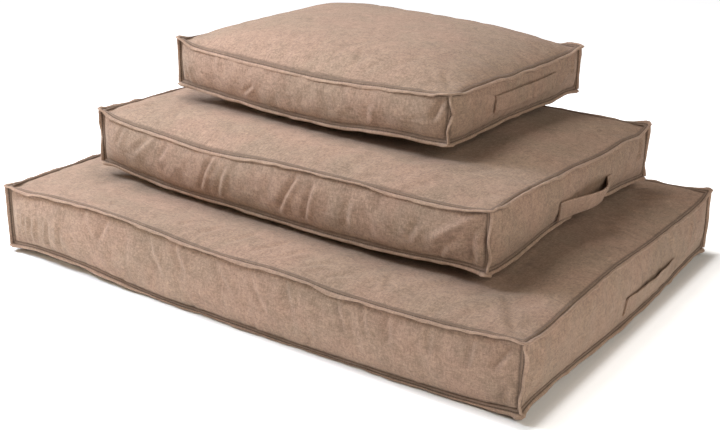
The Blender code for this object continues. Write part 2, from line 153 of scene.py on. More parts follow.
# ------------------------------------------------------------------ the boxed cushion
class Bed:
    """A boxed cushion on a lattice: nu by nv cells on its top and bottom, nh up its borders, all sharing vertices."""

    def __init__(self, name, spec):
        self.name, self.s = name, spec
        self.a = spec["width"] / 2 - 0.0095
        self.b = spec["depth"] / 2 - REACH
        self.zb = spec["low"] + REACH
        self.zt = spec["high"] - 0.0045
        self.zip_z = {"large": 0.0700, "medium": 0.0630, "small": 0.05975}[name]
        self.zip_half = ZIP_SHARE * spec["width"] / 2
        c = spec["cell"]
        self.nu, self.nv = int(round(2 * self.a / c)), int(round(2 * self.b / c))
        self.us = np.linspace(-1, 1, self.nu + 1)
        self.vs = np.linspace(-1, 1, self.nv + 1)
        height = self.zt - self.zb
        mid = (self.zip_z - self.zb) / height
        step = ZIP_SLOT / 2 / height
        lower = np.linspace(0, mid - step, max(3, int(round((mid - step) * height / c))) + 1)
        upper = np.linspace(mid + step, 1, max(3, int(round((1 - mid - step) * height / c))) + 1)
        edge = 0.0007 / height
        inner = [mid - step + edge, mid - step / 3, mid + step / 3, mid + step - edge]
        self.hs = np.concatenate([lower, inner, upper])
        self.nh = len(self.hs) - 1
        self.to_row = Matrix.Translation((*(np.array(spec["at"]) + SHIFT), spec["base"])) @ Matrix.Rotation(spec["turn"], 4, "Z")
        self.build_lattice()

    # ---- heights
    def side_mix(self, u, v, which):
        s = self.s
        w = lambda t: np.clip(t, 0, 1) ** 7
        return (
            spline(s["front_" + which], u) * w(-v) + spline(s["back_" + which], u) * w(v)
            + spline(s["left_" + which], v) * w(-u) + spline(s["right_" + which], v) * w(u)
        )

    def top(self, u, v):
        rise = self.s["crown"] - self.zt
        lip = 0.0045 * (1 - np.exp(-(1 - np.abs(u)) * self.a / 0.016)) * (1 - np.exp(-(1 - np.abs(v)) * self.b / 0.016))
        if self.name == "small":  # nothing lies on this one, so it stands as full as it is stuffed
            dome = (1 - np.abs(u) ** 4.0) * (1 - np.abs(v) ** np.where(v > 0, 6.0, 3.2))
            return self.zt + lip + (rise + 0.0110) * dome + self.side_mix(u, v, "top")
        dome = (1 - np.abs(u) ** 2.6) * (1 - np.abs(v) ** 1.9)
        z = self.zt + lip + (1.04 * rise - 0.0035) * dome + self.side_mix(u, v, "top")
        return soft_min(z, np.full_like(z, self.s["crown"] - 0.0002), 0.0012)

    def low(self, u, v):
        dome = (1 - np.abs(u) ** 7) * (1 - np.abs(v) ** 5)
        z = self.zb - 1.45 * self.zb * dome + self.side_mix(u, v, "low")
        return soft_max(z, np.full_like(z, 0.0002), 0.0012)

    # ---- lattice
    def build_lattice(self):
        nu, nv, nh = self.nu, self.nv, self.nh
        ring = [(i, 0) for i in range(nu)] + [(nu, j) for j in range(nv)]
        ring += [(i, nv) for i in range(nu, 0, -1)] + [(0, j) for j in range(nv, 0, -1)]
        self.ring = ring
        top = np.arange((nu + 1) * (nv + 1)).reshape(nu + 1, nv + 1)
        low = top + top.size
        first = 2 * top.size
        wall = np.zeros((len(ring), nh + 1), int)
        for r, (i, j) in enumerate(ring):
            wall[r, 0], wall[r, nh] = low[i, j], top[i, j]
        wall[:, 1:nh] = first + np.arange(len(ring) * (nh - 1)).reshape(len(ring), nh - 1)
        self.T, self.B, self.W = top, low, wall
        count = first + len(ring) * (nh - 1)
        u = np.zeros(count)
        v = np.zeros(count)
        h = np.zeros(count)
        U, V = np.meshgrid(self.us, self.vs, indexing="ij")
        for grid, height in ((top, 1.0), (low, 0.0)):
            u[grid], v[grid], h[grid] = U, V, height
        ri, rj = np.array(ring).T
        u[wall] = self.us[ri][:, None]
        v[wall] = self.vs[rj][:, None]
        h[wall] = self.hs[None, :]
        self.u, self.v, self.h = u, v, h
        quads, kind = [], []
        a, b, c, d = top[:-1, :-1], top[1:, :-1], top[1:, 1:], top[:-1, 1:]
        quads.append(np.stack([a, b, c, d], -1).reshape(-1, 4)); kind += [0] * (nu * nv)
        a, b, c, d = low[:-1, :-1], low[:-1, 1:], low[1:, 1:], low[1:, :-1]
        quads.append(np.stack([a, b, c, d], -1).reshape(-1, 4)); kind += [1] * (nu * nv)
        nxt = np.roll(wall, -1, axis=0)
        quads.append(np.stack([wall[:, :-1], nxt[:, :-1], nxt[:, 1:], wall[:, 1:]], -1).reshape(-1, 4))
        kind += [2] * (len(ring) * nh)
        self.quads, self.kind = np.concatenate(quads), np.array(kind)
        # which side of the ring each step lies on: 0 front, 1 right, 2 back, 3 left
        self.ring_side = np.array([0] * nu + [1] * nv + [2] * nu + [3] * nv)
        self.corners = [0, nu, nu + nv, 2 * nu + nv]
        self.inner_wall = np.zeros(count, bool)
        self.inner_wall[wall[:, 1:nh]] = True
        self.seam = np.zeros(count, bool)
        self.seam[wall[:, 0]] = self.seam[wall[:, nh]] = True
        for r in self.corners:
            self.seam[wall[r]] = True

    def shape(self):
        u, v, h, s = self.u, self.v, self.h, self.s
        front = np.where(v < 0, BOW, 0.0)
        x = u * (self.a + BOW * (1 - v * v))
        y = v * (self.b + front * (1 - u * u))
        top, low = self.top(u, v), self.low(u, v)
        z = np.where(h >= 1, top, np.where(h <= 0, low, low + (top - low) * h))
        z0 = low + (top - low) * h
        r = np.clip(4 * h * (1 - h), 0, 1) ** 0.62
        wall = self.inner_wall
        on_x = wall & (np.abs(u) > 0.9999)
        on_y = wall & (np.abs(v) > 0.9999)
        z = np.where(wall, z0, z)
        # the back runs straight past the zip
        back = on_y & (v > 0)
        straight = smooth((self.zip_half / self.a + 0.09 - np.abs(u)) / 0.09)
        hz = self.zb + (self.zt - self.zb) * h
        z = np.where(back, z0 + (hz - z0) * straight * r, z)
        q8 = lambda t: 1 - np.abs(t) ** 22
        q16 = lambda t: 1 - np.abs(t) ** 16
        x = x + np.where(on_x, np.sign(u) * s["bulge"] * q8(v) * r, 0)
        b_front = 1.30 * s["bulge"] * q8(u) * r
        flat = {"large": 0.012, "medium": 0.012, "small": 0.010}[self.name]
        b_back = flat * q16(u) * r
        y = y + np.where(on_y, np.where(v > 0, b_back, -b_front), 0)
        half = ZIP_SLOT / 2 / (self.zt - self.zb)
        slot = back & (np.abs(h - (self.zip_z - self.zb) / (self.zt - self.zb)) < half * 0.97) & (np.abs(u * self.a) < self.zip_half + 0.001)
        y = y - 0.0026 * slot
        return np.stack([x, y, z], -1)

    # ---- neighbours, for smoothing
    def edges(self):
        q = self.quads
        e = np.concatenate([q[:, [0, 1]], q[:, [1, 2]], q[:, [2, 3]], q[:, [3, 0]]])
        return np.unique(np.sort(e, axis=1), axis=0)

    def smoothed(self, values, rounds):
        e = self.edges()
        n = len(values)
        degree = np.bincount(e.ravel(), minlength=n)[:, None]
        out = values.copy()
        for _ in range(rounds):
            total = np.zeros_like(out)
            for axis in range(out.shape[1]):
                total[:, axis] = np.bincount(e[:, 0], out[e[:, 1], axis], n) + np.bincount(e[:, 1], out[e[:, 0], axis], n)
            out = 0.5 * out + 0.5 * total / degree
        return out

    def normals(self, p):
        q = self.quads
        n = np.cross(p[q[:, 2]] - p[q[:, 0]], p[q[:, 3]] - p[q[:, 1]])
        out = np.zeros_like(p)
        for k in range(4):
            for axis in range(3):
                out[:, axis] += np.bincount(q[:, k], n[:, axis], len(p))
        return unit(out)

    def seam_distance(self):
        """Roughly how far each vertex is from the nearest seam, in metres."""
        u, v, h = self.u, self.v, self.h
        d = np.minimum((1 - np.abs(u)) * self.a, (1 - np.abs(v)) * self.b)
        height = self.zt - self.zb
        up = np.minimum(h, 1 - h) * height
        along = np.where(np.abs(u) > 0.9999, (1 - np.abs(v)) * self.b, (1 - np.abs(u)) * self.a)
        return np.where(self.inner_wall, np.minimum(up, along), d)

    # ---- cloth
    def simulate(self, p):
        """Blender's cloth, blown up a little from inside with more cloth in the panels than their seams hold."""
        mesh = bpy.data.meshes.new("sim")
        mesh.from_pydata(p.tolist(), [], self.quads.tolist())
        obj = bpy.data.objects.new("sim", mesh)
        scene.collection.objects.link(obj)
        pin = obj.vertex_groups.new(name="pin")
        pin.add(np.nonzero(self.seam)[0].tolist(), 1.0, "REPLACE")
        mod = obj.modifiers.new("Cloth", "CLOTH")
        c = mod.settings
        c.quality = 5
        c.mass = 0.25
        c.air_damping = 1.5
        c.tension_stiffness = c.compression_stiffness = 30
        c.shear_stiffness = 8
        c.bending_stiffness = 0.25
        c.vertex_group_mass = "pin"
        c.shrink_min = -0.035
        c.use_pressure = True
        c.uniform_pressure_force = 2.5
        c.effector_weights.gravity = 0.0
        mod.collision_settings.use_collision = False
        mod.collision_settings.use_self_collision = False
        mod.point_cache.frame_start, mod.point_cache.frame_end = 1, 24
        for f in range(1, 23):
            scene.frame_set(f)
        graph = bpy.context.evaluated_depsgraph_get()
        done = obj.evaluated_get(graph).to_mesh()
        out = np.empty(len(done.vertices) * 3)
        done.vertices.foreach_get("co", out)
        out = out.reshape(-1, 3)
        bpy.data.objects.remove(obj, do_unlink=True)
        scene.frame_set(1)
        return out

    def relax(self, p):
        """The folds that the cloth settles into, on the cushion's own shape."""
        moved = self.simulate(p) - p
        size = np.linalg.norm(moved, axis=1, keepdims=True)
        moved *= np.minimum(1, 0.04 / np.maximum(size, 1e-9))
        folds = moved - self.smoothed(moved, 22)
        keep = smooth(self.seam_distance() / 0.016)[:, None]
        size = np.linalg.norm(folds, axis=1, keepdims=True)
        folds *= np.minimum(1, 0.004 / np.maximum(size, 1e-9))
        share = np.where(self.inner_wall, np.where(self.v > 0.9999, 0.15, 0.55), 0.40)[:, None]
        return p + folds * keep * share

    # ---- folds that are drawn in
    def pucker(self, p):
        """Short gathers that start at each seam and die out in the panel, in patches."""
        n = self.normals(p)
        u, v, h = self.u, self.v, self.h
        x, y = u * self.a, v * self.b
        height = self.zt - self.zb
        seed = self.s["seed"]
        out = np.zeros(len(p))
        top = (h >= 1) & ~self.seam
        low = (h <= 0) & ~self.seam
        wall = self.inner_wall
        front_back = wall & (np.abs(v) > 0.9999)
        along = np.where(front_back, x, y)

        def gathers(where, run, away, reach, size, wave, k):
            patch = np.clip(noise1(run / 0.11, seed + k) + 0.35, 0, 1)
            wig = noise1(run / wave, seed + k + 1) + 0.5 * noise1(run / (wave * 0.47), seed + k + 2)
            rise = smooth(away / 0.006) * np.exp(-away / reach)
            out[where] += (size * patch * wig * rise)[where]

        for k, (mask, away, run) in enumerate((
            (top & (v < 0), (1 + v) * self.b, x), (top & (v > 0), (1 - v) * self.b, x),
            (top & (u > 0), (1 - u) * self.a, y), (top & (u < 0), (1 + u) * self.a, y),
        )):
            gathers(mask, run + 0.12 * away, away, 0.024, 0.0012, 0.017, 10 * k)
        side = (u > 0.9999) * 3 + (u < -0.9999) * 5 + (v > 0.9999) * 7
        for k, away in enumerate(((1 - h) * height, h * height)):
            gathers(wall, along + 0.1 * away + side, away, 0.022, 0.0016, 0.015, 50 + 10 * k)
        corner = np.hypot((1 - np.abs(u)) * self.a, (1 - np.abs(v)) * self.b)
        flat = top | low
        angle = np.arctan2((1 - np.abs(v)) * self.b + 1e-6, (1 - np.abs(u)) * self.a + 1e-6)
        fan = noise1(angle * 5 + seed + 3 * np.sign(u) + 7 * np.sign(v), seed + 90)
        out[flat] += (0.0022 * fan * smooth(corner / 0.03) * np.exp(-corner / 0.06))[flat]
        out += -0.0030 * np.exp(-((corner - 0.020) / 0.014) ** 2) * flat
        # broad unevenness of the fill
        lump = noise2(x / 0.13, y / 0.13, seed + 200) + 0.5 * noise2(x / 0.07, y / 0.07, seed + 201)
        out += 0.0014 * lump * smooth(corner / 0.08) * flat
        wallump = noise2(along / 0.09, h * 1.3, seed + 210) + 0.6 * noise2(along / 0.05, h * 2.1, seed + 211)
        out += 0.0011 * wallump * np.clip(4 * h * (1 - h), 0, 1) * wall
        zipped = wall & (v > 0.9999) & (np.abs(u * self.a) < self.zip_half + 0.03)
        out[zipped] *= 0.25
        y0, y1, zc, half = self.s["strap"]
        near = np.maximum(np.maximum(y0 - y, y - y1), np.abs(self.zb + h * height - zc) - half)
        strapped = wall & (u > 0.9999)
        out = np.where(strapped, out * (0.3 + 0.7 * smooth((near + 0.01) / 0.02)), out)
        out[self.seam] = 0
        return p + n * out[:, None]

    def fold(self, p, side, start, end, width, depth, taper=0.25):
        """One valley (depth below 0) or ridge on a border, between two points given as (share along, share up)."""
        n = self.normals(p)
        wall = self.inner_wall
        on = {
            "front": wall & (self.v < -0.9999), "right": wall & (self.u > 0.9999),
            "left": wall & (self.u < -0.9999), "top": (self.h >= 1) & ~self.seam,
        }[side]
        height = self.zt - self.zb
        if side == "top":
            size = np.array([2 * self.a, 2 * self.b])
            at = np.stack([(self.u + 1) / 2, (self.v + 1) / 2], -1)
        else:
            length, run = (2 * self.a, self.u) if side == "front" else (2 * self.b, self.v)
            size = np.array([length, height])
            at = np.stack([(run + 1) / 2, self.h], -1)
        q, a, b = at * size, np.array(start) * size, np.array(end) * size
        d = b - a
        long = np.linalg.norm(d)
        t = ((q - a) @ d) / long ** 2
        across = np.abs((q - a) @ np.array([-d[1], d[0]])) / long
        signed = (q - a) @ np.array([-d[1], d[0]]) / long
        shape = np.exp(-(across / width) ** 2) - 0.62 * np.exp(-((signed - 1.7 * width) / (0.9 * width)) ** 2)
        ends = smooth(t / taper) * smooth((1 - t) / taper)
        move = depth * shape * ends * on * smooth(self.seam_distance() / 0.005)
        return p + n * move[:, None]

    # ---- reading the finished surface
    def wall_point(self, side, s, h):
        """A point of a border at s along it (-1 to 1) and share h up it."""
        rows = {"front": np.arange(0, self.nu + 1), "right": np.arange(self.nu, self.nu + self.nv + 1)}[side]
        grid = self.p[self.W[rows % len(self.ring)]]
        s, h = np.asarray(s, float), np.asarray(h, float)
        x = np.clip((s + 1) / 2 * (len(rows) - 1), 0, len(rows) - 1.0001)
        k = np.clip(np.searchsorted(self.hs, h, side="right") - 1, 0, self.nh - 1)
        t = np.clip((h - self.hs[k]) / (self.hs[k + 1] - self.hs[k]), 0, 1)[..., None]
        i = x.astype(int)
        f = (x - i)[..., None]
        return (
            grid[i, k] * (1 - f) * (1 - t) + grid[i + 1, k] * f * (1 - t)
            + grid[i, k + 1] * (1 - f) * t + grid[i + 1, k + 1] * f * t
        )

    def row(self, p):
        """From the bed's frame to the row's."""
        m = np.array(self.to_row)
        return np.asarray(p) @ m[:3, :3].T + m[:3, 3]


def press(bed, upper, tree):
    """How high this bed's top may stand at each lattice point under the bed that lies on it."""
    base = upper.s["base"]
    world = bed.row(bed.shape()[bed.T.ravel()])
    back_to = np.array(upper.to_row.inverted())
    local = world @ back_to[:3, :3].T + back_to[:3, 3]
    front = local[:, 1] + upper.b
    side = np.minimum(upper.a - local[:, 0], local[:, 0] + upper.a)
    margin = 0.0013 + 0.0085 * smooth(1 - front / 0.20) + 0.0170 * np.exp(-(((front - 0.062) / 0.034) ** 2))
    margin += 0.0040 * smooth(1 - side / 0.07) + 0.0060 * np.exp(-(((side - 0.040) / 0.022) ** 2))
    limit = np.full(len(world), 1.0)
    for dx, dy in ((0, 0), (0.005, 0), (-0.005, 0), (0, 0.005), (0, -0.005)):
        for i, (x, y, _) in enumerate(world):
            hit = tree.ray_cast(Vector((x + dx, y + dy, base - 0.06)), Vector((0, 0, 1)), 0.12)[0]
            if hit is not None:
                limit[i] = min(limit[i], hit.z - bed.s["base"] - margin[i])
    limit = limit.reshape(bed.T.shape)
    step_u, step_v = 2 * bed.a / bed.nu * 0.11, 2 * bed.b / bed.nv * 0.11
    for _ in range(22):
        limit[1:] = np.minimum(limit[1:], limit[:-1] + step_u)
        limit[:-1] = np.minimum(limit[:-1], limit[1:] + step_u)
        limit[:, 1:] = np.minimum(limit[:, 1:], limit[:, :-1] + step_v)
        limit[:, :-1] = np.minimum(limit[:, :-1], limit[:, 1:] + step_v)
    return limit


# ------------------------------------------------------------------ meshes
def link(name, verts, faces, uv=None, smooth_faces=True):
    mesh = bpy.data.meshes.new(name)
    mesh.from_pydata(np.asarray(verts, float).tolist(), [], [list(map(int, f)) for f in faces])
    mesh.update()
    if uv is not None:
        layer = mesh.uv_layers.new(name="UVMap")
        layer.data.foreach_set("uv", np.asarray(uv, np.float32).ravel())
    if smooth_faces:
        mesh.shade_smooth()
    obj = bpy.data.objects.new(name, mesh)
    scene.collection.objects.link(obj)
    return obj


def baked(obj, *modifiers):
    """Applies the object's modifiers by reading its evaluated mesh back."""
    graph = bpy.context.evaluated_depsgraph_get()
    mesh = bpy.data.meshes.new_from_object(obj.evaluated_get(graph))
    old = obj.data
    obj.modifiers.clear()
    obj.data = mesh
    mesh.name = obj.name
    bpy.data.meshes.remove(old)
    return obj


class Fine(Bed):
    """The same cushion after one round of subdivision."""

    def __init__(self, bed, obj):
        for key in ("name", "s", "a", "b", "zb", "zt", "zip_z", "zip_half", "to_row"):
            setattr(self, key, getattr(bed, key))
        count = len(obj.data.vertices)
        self.quads = np.empty(len(obj.data.polygons) * 4, int)
        obj.data.polygons.foreach_get("vertices", self.quads)
        self.quads = self.quads.reshape(-1, 4)
        limit = np.ones(len(bed.u))
        limit[bed.T.ravel()] = bed.limit
        self.u, self.v, self.h = self.spread(bed, np.stack([bed.u, bed.v, bed.h], -1), count).T
        wall, seam, self.limit = self.spread(bed, np.stack([bed.inner_wall, bed.seam, limit], -1), count).T
        self.seam = seam > 0.999
        self.inner_wall = (wall > 0.01) & ~self.seam
        self.inner_wall &= (self.h > 1e-6) & (self.h < 1 - 1e-6)
        p = np.empty(count * 3)
        obj.data.vertices.foreach_get("co", p)
        self.p = p.reshape(-1, 3)

    @staticmethod
    def spread(bed, values, count):
        """Values of the lattice's vertices, interpolated to the subdivided mesh's."""
        obj = link("spread", values, bed.quads, smooth_faces=False)
        sub = obj.modifiers.new("Subdivision", "SUBSURF")
        sub.subdivision_type = "SIMPLE"
        sub.levels = sub.render_levels = 1
        baked(obj)
        out = np.empty(len(obj.data.vertices) * 3)
        obj.data.vertices.foreach_get("co", out)
        assert len(out) == count * 3
        mesh = obj.data
        bpy.data.objects.remove(obj, do_unlink=True)
        bpy.data.meshes.remove(mesh)
        return out.reshape(-1, 3)


def cover_mesh(bed):
    """The sewn cover, one level finer than the lattice, its seams kept sharp."""
    q, kind = bed.quads, bed.kind
    u, v, h = bed.u * bed.a, bed.v * bed.b, bed.h
    uv = np.zeros((len(q), 4, 2))
    flat = kind < 2
    uv[flat, :, 0] = u[q[flat]]
    uv[flat, :, 1] = v[q[flat]]
    uv[kind == 1] += (3.0, 0.0)
    ring_pos = {0: 0.0, 1: 2 * bed.a, 2: 2 * bed.a + 2 * bed.b, 3: 4 * bed.a + 2 * bed.b}
    height = bed.zt - bed.zb
    n = len(bed.ring)
    steps = np.concatenate([[2 * bed.a / bed.nu] * bed.nu, [2 * bed.b / bed.nv] * bed.nv] * 2)
    run = np.concatenate([[0], np.cumsum(steps)])
    rows = np.repeat(np.arange(n), bed.nh)
    cols = np.tile(np.arange(bed.nh), n)
    w = np.nonzero(kind == 2)[0]
    uv[w, 0] = np.stack([run[rows], bed.hs[cols] * height], -1)
    uv[w, 1] = np.stack([run[rows + 1], bed.hs[cols] * height], -1)
    uv[w, 2] = np.stack([run[rows + 1], bed.hs[cols + 1] * height], -1)
    uv[w, 3] = np.stack([run[rows], bed.hs[cols + 1] * height], -1)
    uv[w] += (0.0, 3.0)
    obj = link(bed.name + "_cover", bed.p, q, uv)
    mesh = obj.data
    mesh.materials.append(MATERIALS["top"])
    mesh.materials.append(MATERIALS["base"])
    mesh.materials.append(MATERIALS["border"])
    mesh.polygons.foreach_set("material_index", kind.astype(np.int32))
    keys = {tuple(sorted(e)): i for i, e in enumerate(map(tuple, np.array([e.vertices[:] for e in mesh.edges])))}
    crease = mesh.attributes.new("crease_edge", "FLOAT", "EDGE")
    value = np.zeros(len(mesh.edges), np.float32)
    seams = []
    for k in (0, bed.nh):
        ids = bed.W[:, k]
        seams += list(zip(ids, np.roll(ids, -1)))
    for r in bed.corners:
        seams += list(zip(bed.W[r, :-1], bed.W[r, 1:]))
    for a, b in seams:
        value[keys[tuple(sorted((int(a), int(b))))]] = 1.0
    crease.data.foreach_set("value", value)
    sub = obj.modifiers.new("Subdivision", "SUBSURF")
    sub.levels = sub.render_levels = 1
    baked(obj)
    obj.data.shade_smooth()
    fine = Fine(bed, obj)
    p = fold_cover(fine, fine.pucker(fine.p))
    top = (fine.h >= 1 - 1e-6) & ~fine.seam
    p[top, 2] = np.minimum(p[top, 2], fine.limit[top])
    under = fine.h <= 1e-6
    p[under, 2] = np.maximum(p[under, 2], 0.0004 if bed.name == "large" else -0.0100)
    obj.data.vertices.foreach_set("co", bed.row(p).ravel())
    # distance from the seams, read by the cover cloth for its painted seam shade
    gap = obj.data.attributes.new("seam_gap", "FLOAT", "POINT")
    gap.data.foreach_set("value", np.where(fine.seam, 0, fine.seam_distance()).astype(np.float32))
    obj.data.update()
    bed.p = p[: len(bed.p)]
    return obj


def fold_cover(bed, p):
    """Folds seen on the real ones: along a side (share along it, share up it), or on top (share across, share back)."""
    folds = {
        "medium": (
            ("front", (0.345, 1.00), (0.305, 0.12), 6.0, -4.6), ("front", (0.385, 0.86), (0.350, 0.05), 7.0, -3.6),
            ("front", (0.575, 1.00), (0.520, 0.14), 6.5, -5.6), ("front", (0.615, 0.92), (0.585, 0.06), 7.0, -4.2),
            ("front", (0.705, 0.80), (0.690, 0.15), 8.5, -2.6), ("front", (0.165, 0.95), (0.105, 0.45), 7.0, -2.4),
            ("front", (0.215, 0.90), (0.185, 0.50), 7.0, -2.0), ("front", (0.075, 0.95), (0.055, 0.45), 6.0, -2.2),
            ("front", (0.995, 1.00), (0.885, 0.34), 9.0, 6.0), ("front", (0.968, 0.70), (0.972, 0.02), 10.0, -9.0),
            ("front", (0.860, 0.70), (0.835, 0.20), 8.0, -2.4), ("front", (0.925, 0.40), (0.900, 0.05), 7.0, -3.2),
            ("right", (0.03, 0.95), (0.09, 0.35), 7.0, -2.4), ("right", (0.95, 0.95), (0.89, 0.45), 6.0, -3.2),
            ("top", (0.985, 0.93), (0.900, 0.80), 9.0, -2.2), ("top", (0.93, 0.99), (0.87, 0.86), 8.0, -1.8),
            ("top", (0.02, 0.05), (0.09, 0.16), 8.0, -1.8), ("left", (0.2, 0.9), (0.26, 0.2), 7.0, -2.6),
            ("left", (0.62, 0.95), (0.58, 0.15), 7.5, -3.0),
        ),
        "small": (
            ("front", (0.325, 0.52), (0.270, 0.20), 4.5, -3.8), ("front", (0.985, 1.00), (0.955, 0.40), 8.0, -7.0),
            ("front", (0.750, 0.60), (0.735, 0.12), 8.0, -2.0), ("front", (0.03, 0.55), (0.035, 0.02), 6.0, -3.5),
            ("front", (0.145, 0.98), (0.165, 0.62), 5.0, -2.2),
            ("right", (0.10, 0.85), (0.16, 0.15), 6.0, -2.4), ("right", (0.19, 0.80), (0.23, 0.20), 6.0, -2.2),
            ("right", (0.27, 0.60), (0.30, 0.06), 6.0, -2.0), ("right", (0.93, 0.95), (0.90, 0.40), 6.0, -2.8),
            ("top", (0.66, 0.05), (0.61, 0.20), 8.0, -1.2), ("top", (0.97, 0.05), (0.90, 0.16), 8.0, -2.0),
            ("left", (0.4, 0.95), (0.45, 0.15), 7.0, -2.6),
        ),
        "large": (
            tuple(("front", (a, 0.02), (a + 0.012, 0.66), w, -2.4) for a, w in ((0.020, 3.4), (0.034, 3.8), (0.050, 4.2), (0.068, 4.4), (0.096, 5.0), (0.126, 5.0)))
            + tuple(("front", (a, 1.0), (b, 0.50), w, d) for a, b, w, d in ((0.61, 0.632, 5.0, -2.2), (0.70, 0.726, 4.5, -2.8), (0.745, 0.768, 4.5, -2.4), (0.79, 0.802, 5.0, -2.2), (0.86, 0.866, 5.0, -2.0), (0.93, 0.924, 5.5, -2.4), (0.385, 0.425, 6.0, -2.4), (0.25, 0.225, 7.0, -2.4)))
            + tuple(("top", (a, 0.165 - 0.1 * k / 6), (a - 0.035, 0.03), 7.0, -1.7) for k, a in enumerate((0.40, 0.445, 0.50, 0.555, 0.60, 0.65, 0.70)))
            + (
                ("front", (0.42, 0.30), (0.43, 0.0), 7.0, -3.0), ("front", (0.985, 0.98), (0.960, 0.55), 8.0, -4.0),
                ("front", (0.335, 0.92), (0.372, 0.36), 6.5, -1.9), ("front", (0.300, 0.30), (0.262, 0.02), 7.0, -2.0),
                ("front", (0.470, 0.96), (0.522, 0.42), 6.0, -2.1), ("front", (0.545, 0.90), (0.585, 0.34), 6.0, -1.9),
                ("front", (0.560, 0.26), (0.545, 0.02), 7.0, -2.0), ("front", (0.668, 0.34), (0.650, 0.03), 7.0, -1.8),
                ("front", (0.185, 0.97), (0.215, 0.55), 6.0, -1.9), ("front", (0.820, 0.30), (0.835, 0.03), 7.0, -1.8),
                ("top", (0.300, 0.030), (0.262, 0.15), 7.5, -1.5), ("top", (0.225, 0.03), (0.205, 0.12), 7.5, -1.3),
                ("top", (0.77, 0.03), (0.735, 0.13), 7.5, -1.6), ("top", (0.985, 0.42), (0.93, 0.50), 8.5, -1.5),
                ("top", (0.985, 0.60), (0.93, 0.66), 8.5, -1.7), ("top", (0.985, 0.76), (0.925, 0.74), 8.5, -1.7),
                ("right", (0.34, 0.96), (0.40, 0.50), 7.0, -2.0), ("right", (0.70, 0.95), (0.76, 0.40), 7.0, -2.2),
                ("right", (0.86, 0.95), (0.83, 0.35), 7.0, -2.2),
                ("front", (0.978, 0.45), (0.975, 0.02), 8.0, -5.0), ("right", (0.02, 0.96), (0.06, 0.55), 7.0, -2.6),
                ("right", (0.015, 0.03), (0.07, 0.42), 7.0, -2.6), ("top", (0.985, 0.02), (0.93, 0.10), 9.0, -2.4),
                ("top", (0.97, 0.06), (0.90, 0.17), 9.0, -2.0), ("top", (0.99, 0.95), (0.90, 0.82), 9.0, -2.6),
                ("top", (0.93, 0.985), (0.86, 0.86), 9.0, -2.2), ("left", (0.35, 0.95), (0.38, 0.15), 8.0, -3.0),
                ("left", (0.70, 0.95), (0.66, 0.15), 8.0, -3.0),
            )
        ),
    }[bed.name]
    deeper, narrower = {"medium": (1.30, 0.88), "small": (1.22, 0.92), "large": (1.45, 0.95)}[bed.name]
    for side, start, end, width, depth in folds:
        depth = np.sign(depth) * min(abs(depth) * deeper, max(6.6, abs(depth)))
        p = bed.fold(p, side, start, end, width * narrower * MM, depth * MM)
    return p


def inner_pillow(bed, name, inset, stride_name):
    """A closed bag or core, set in from the cover."""
    p = bed.smoothed(bed.p, 2)
    p = p - bed.normals(p) * inset
    obj = link(f"{bed.name}_{name}", bed.row(p), bed.quads)
    obj.data.materials.append(MATERIALS[stride_name])
    return obj


# ------------------------------------------------------------------ flanges
def flange_profile():
    """Half thickness of the flange at each distance from the seam: it narrows at its stitch line and swells to a soft edge."""
    f = np.array([-2.0, 0.4, 1.8, 3.0, 3.6, 4.4, 5.8, 7.4, 9.0, 10.2, 10.7]) * MM
    t = np.array([3.0, 2.5, 1.6, 0.95, 0.90, 1.4, 2.05, 2.20, 1.90, 1.2, 0.0]) * MM
    upper = list(zip(f, t))
    lower = [(a, -b) for a, b in reversed(upper[:-1])]
    return np.array(upper + lower)


def resample(p, closed, pitch):
    """Points along a polyline at an even pitch, with the parameter of each, by linear steps."""
    q = np.concatenate([p, p[:1]]) if closed else p
    d = np.concatenate([[0], np.cumsum(np.linalg.norm(np.diff(q, axis=0), axis=1))])
    n = max(4, int(round(d[-1] / pitch)))
    s = np.linspace(0, d[-1], n + 1)
    if closed:
        s = s[:-1]
    param = np.interp(s, d, np.arange(len(q)))
    return s, param, d[-1]


def take(values, param, closed):
    q = np.concatenate([values, values[:1]]) if closed else values
    i = np.minimum(param.astype(int), len(q) - 2)
    f = (param - i)[:, None]
    return q[i] * (1 - f) + q[i + 1] * f


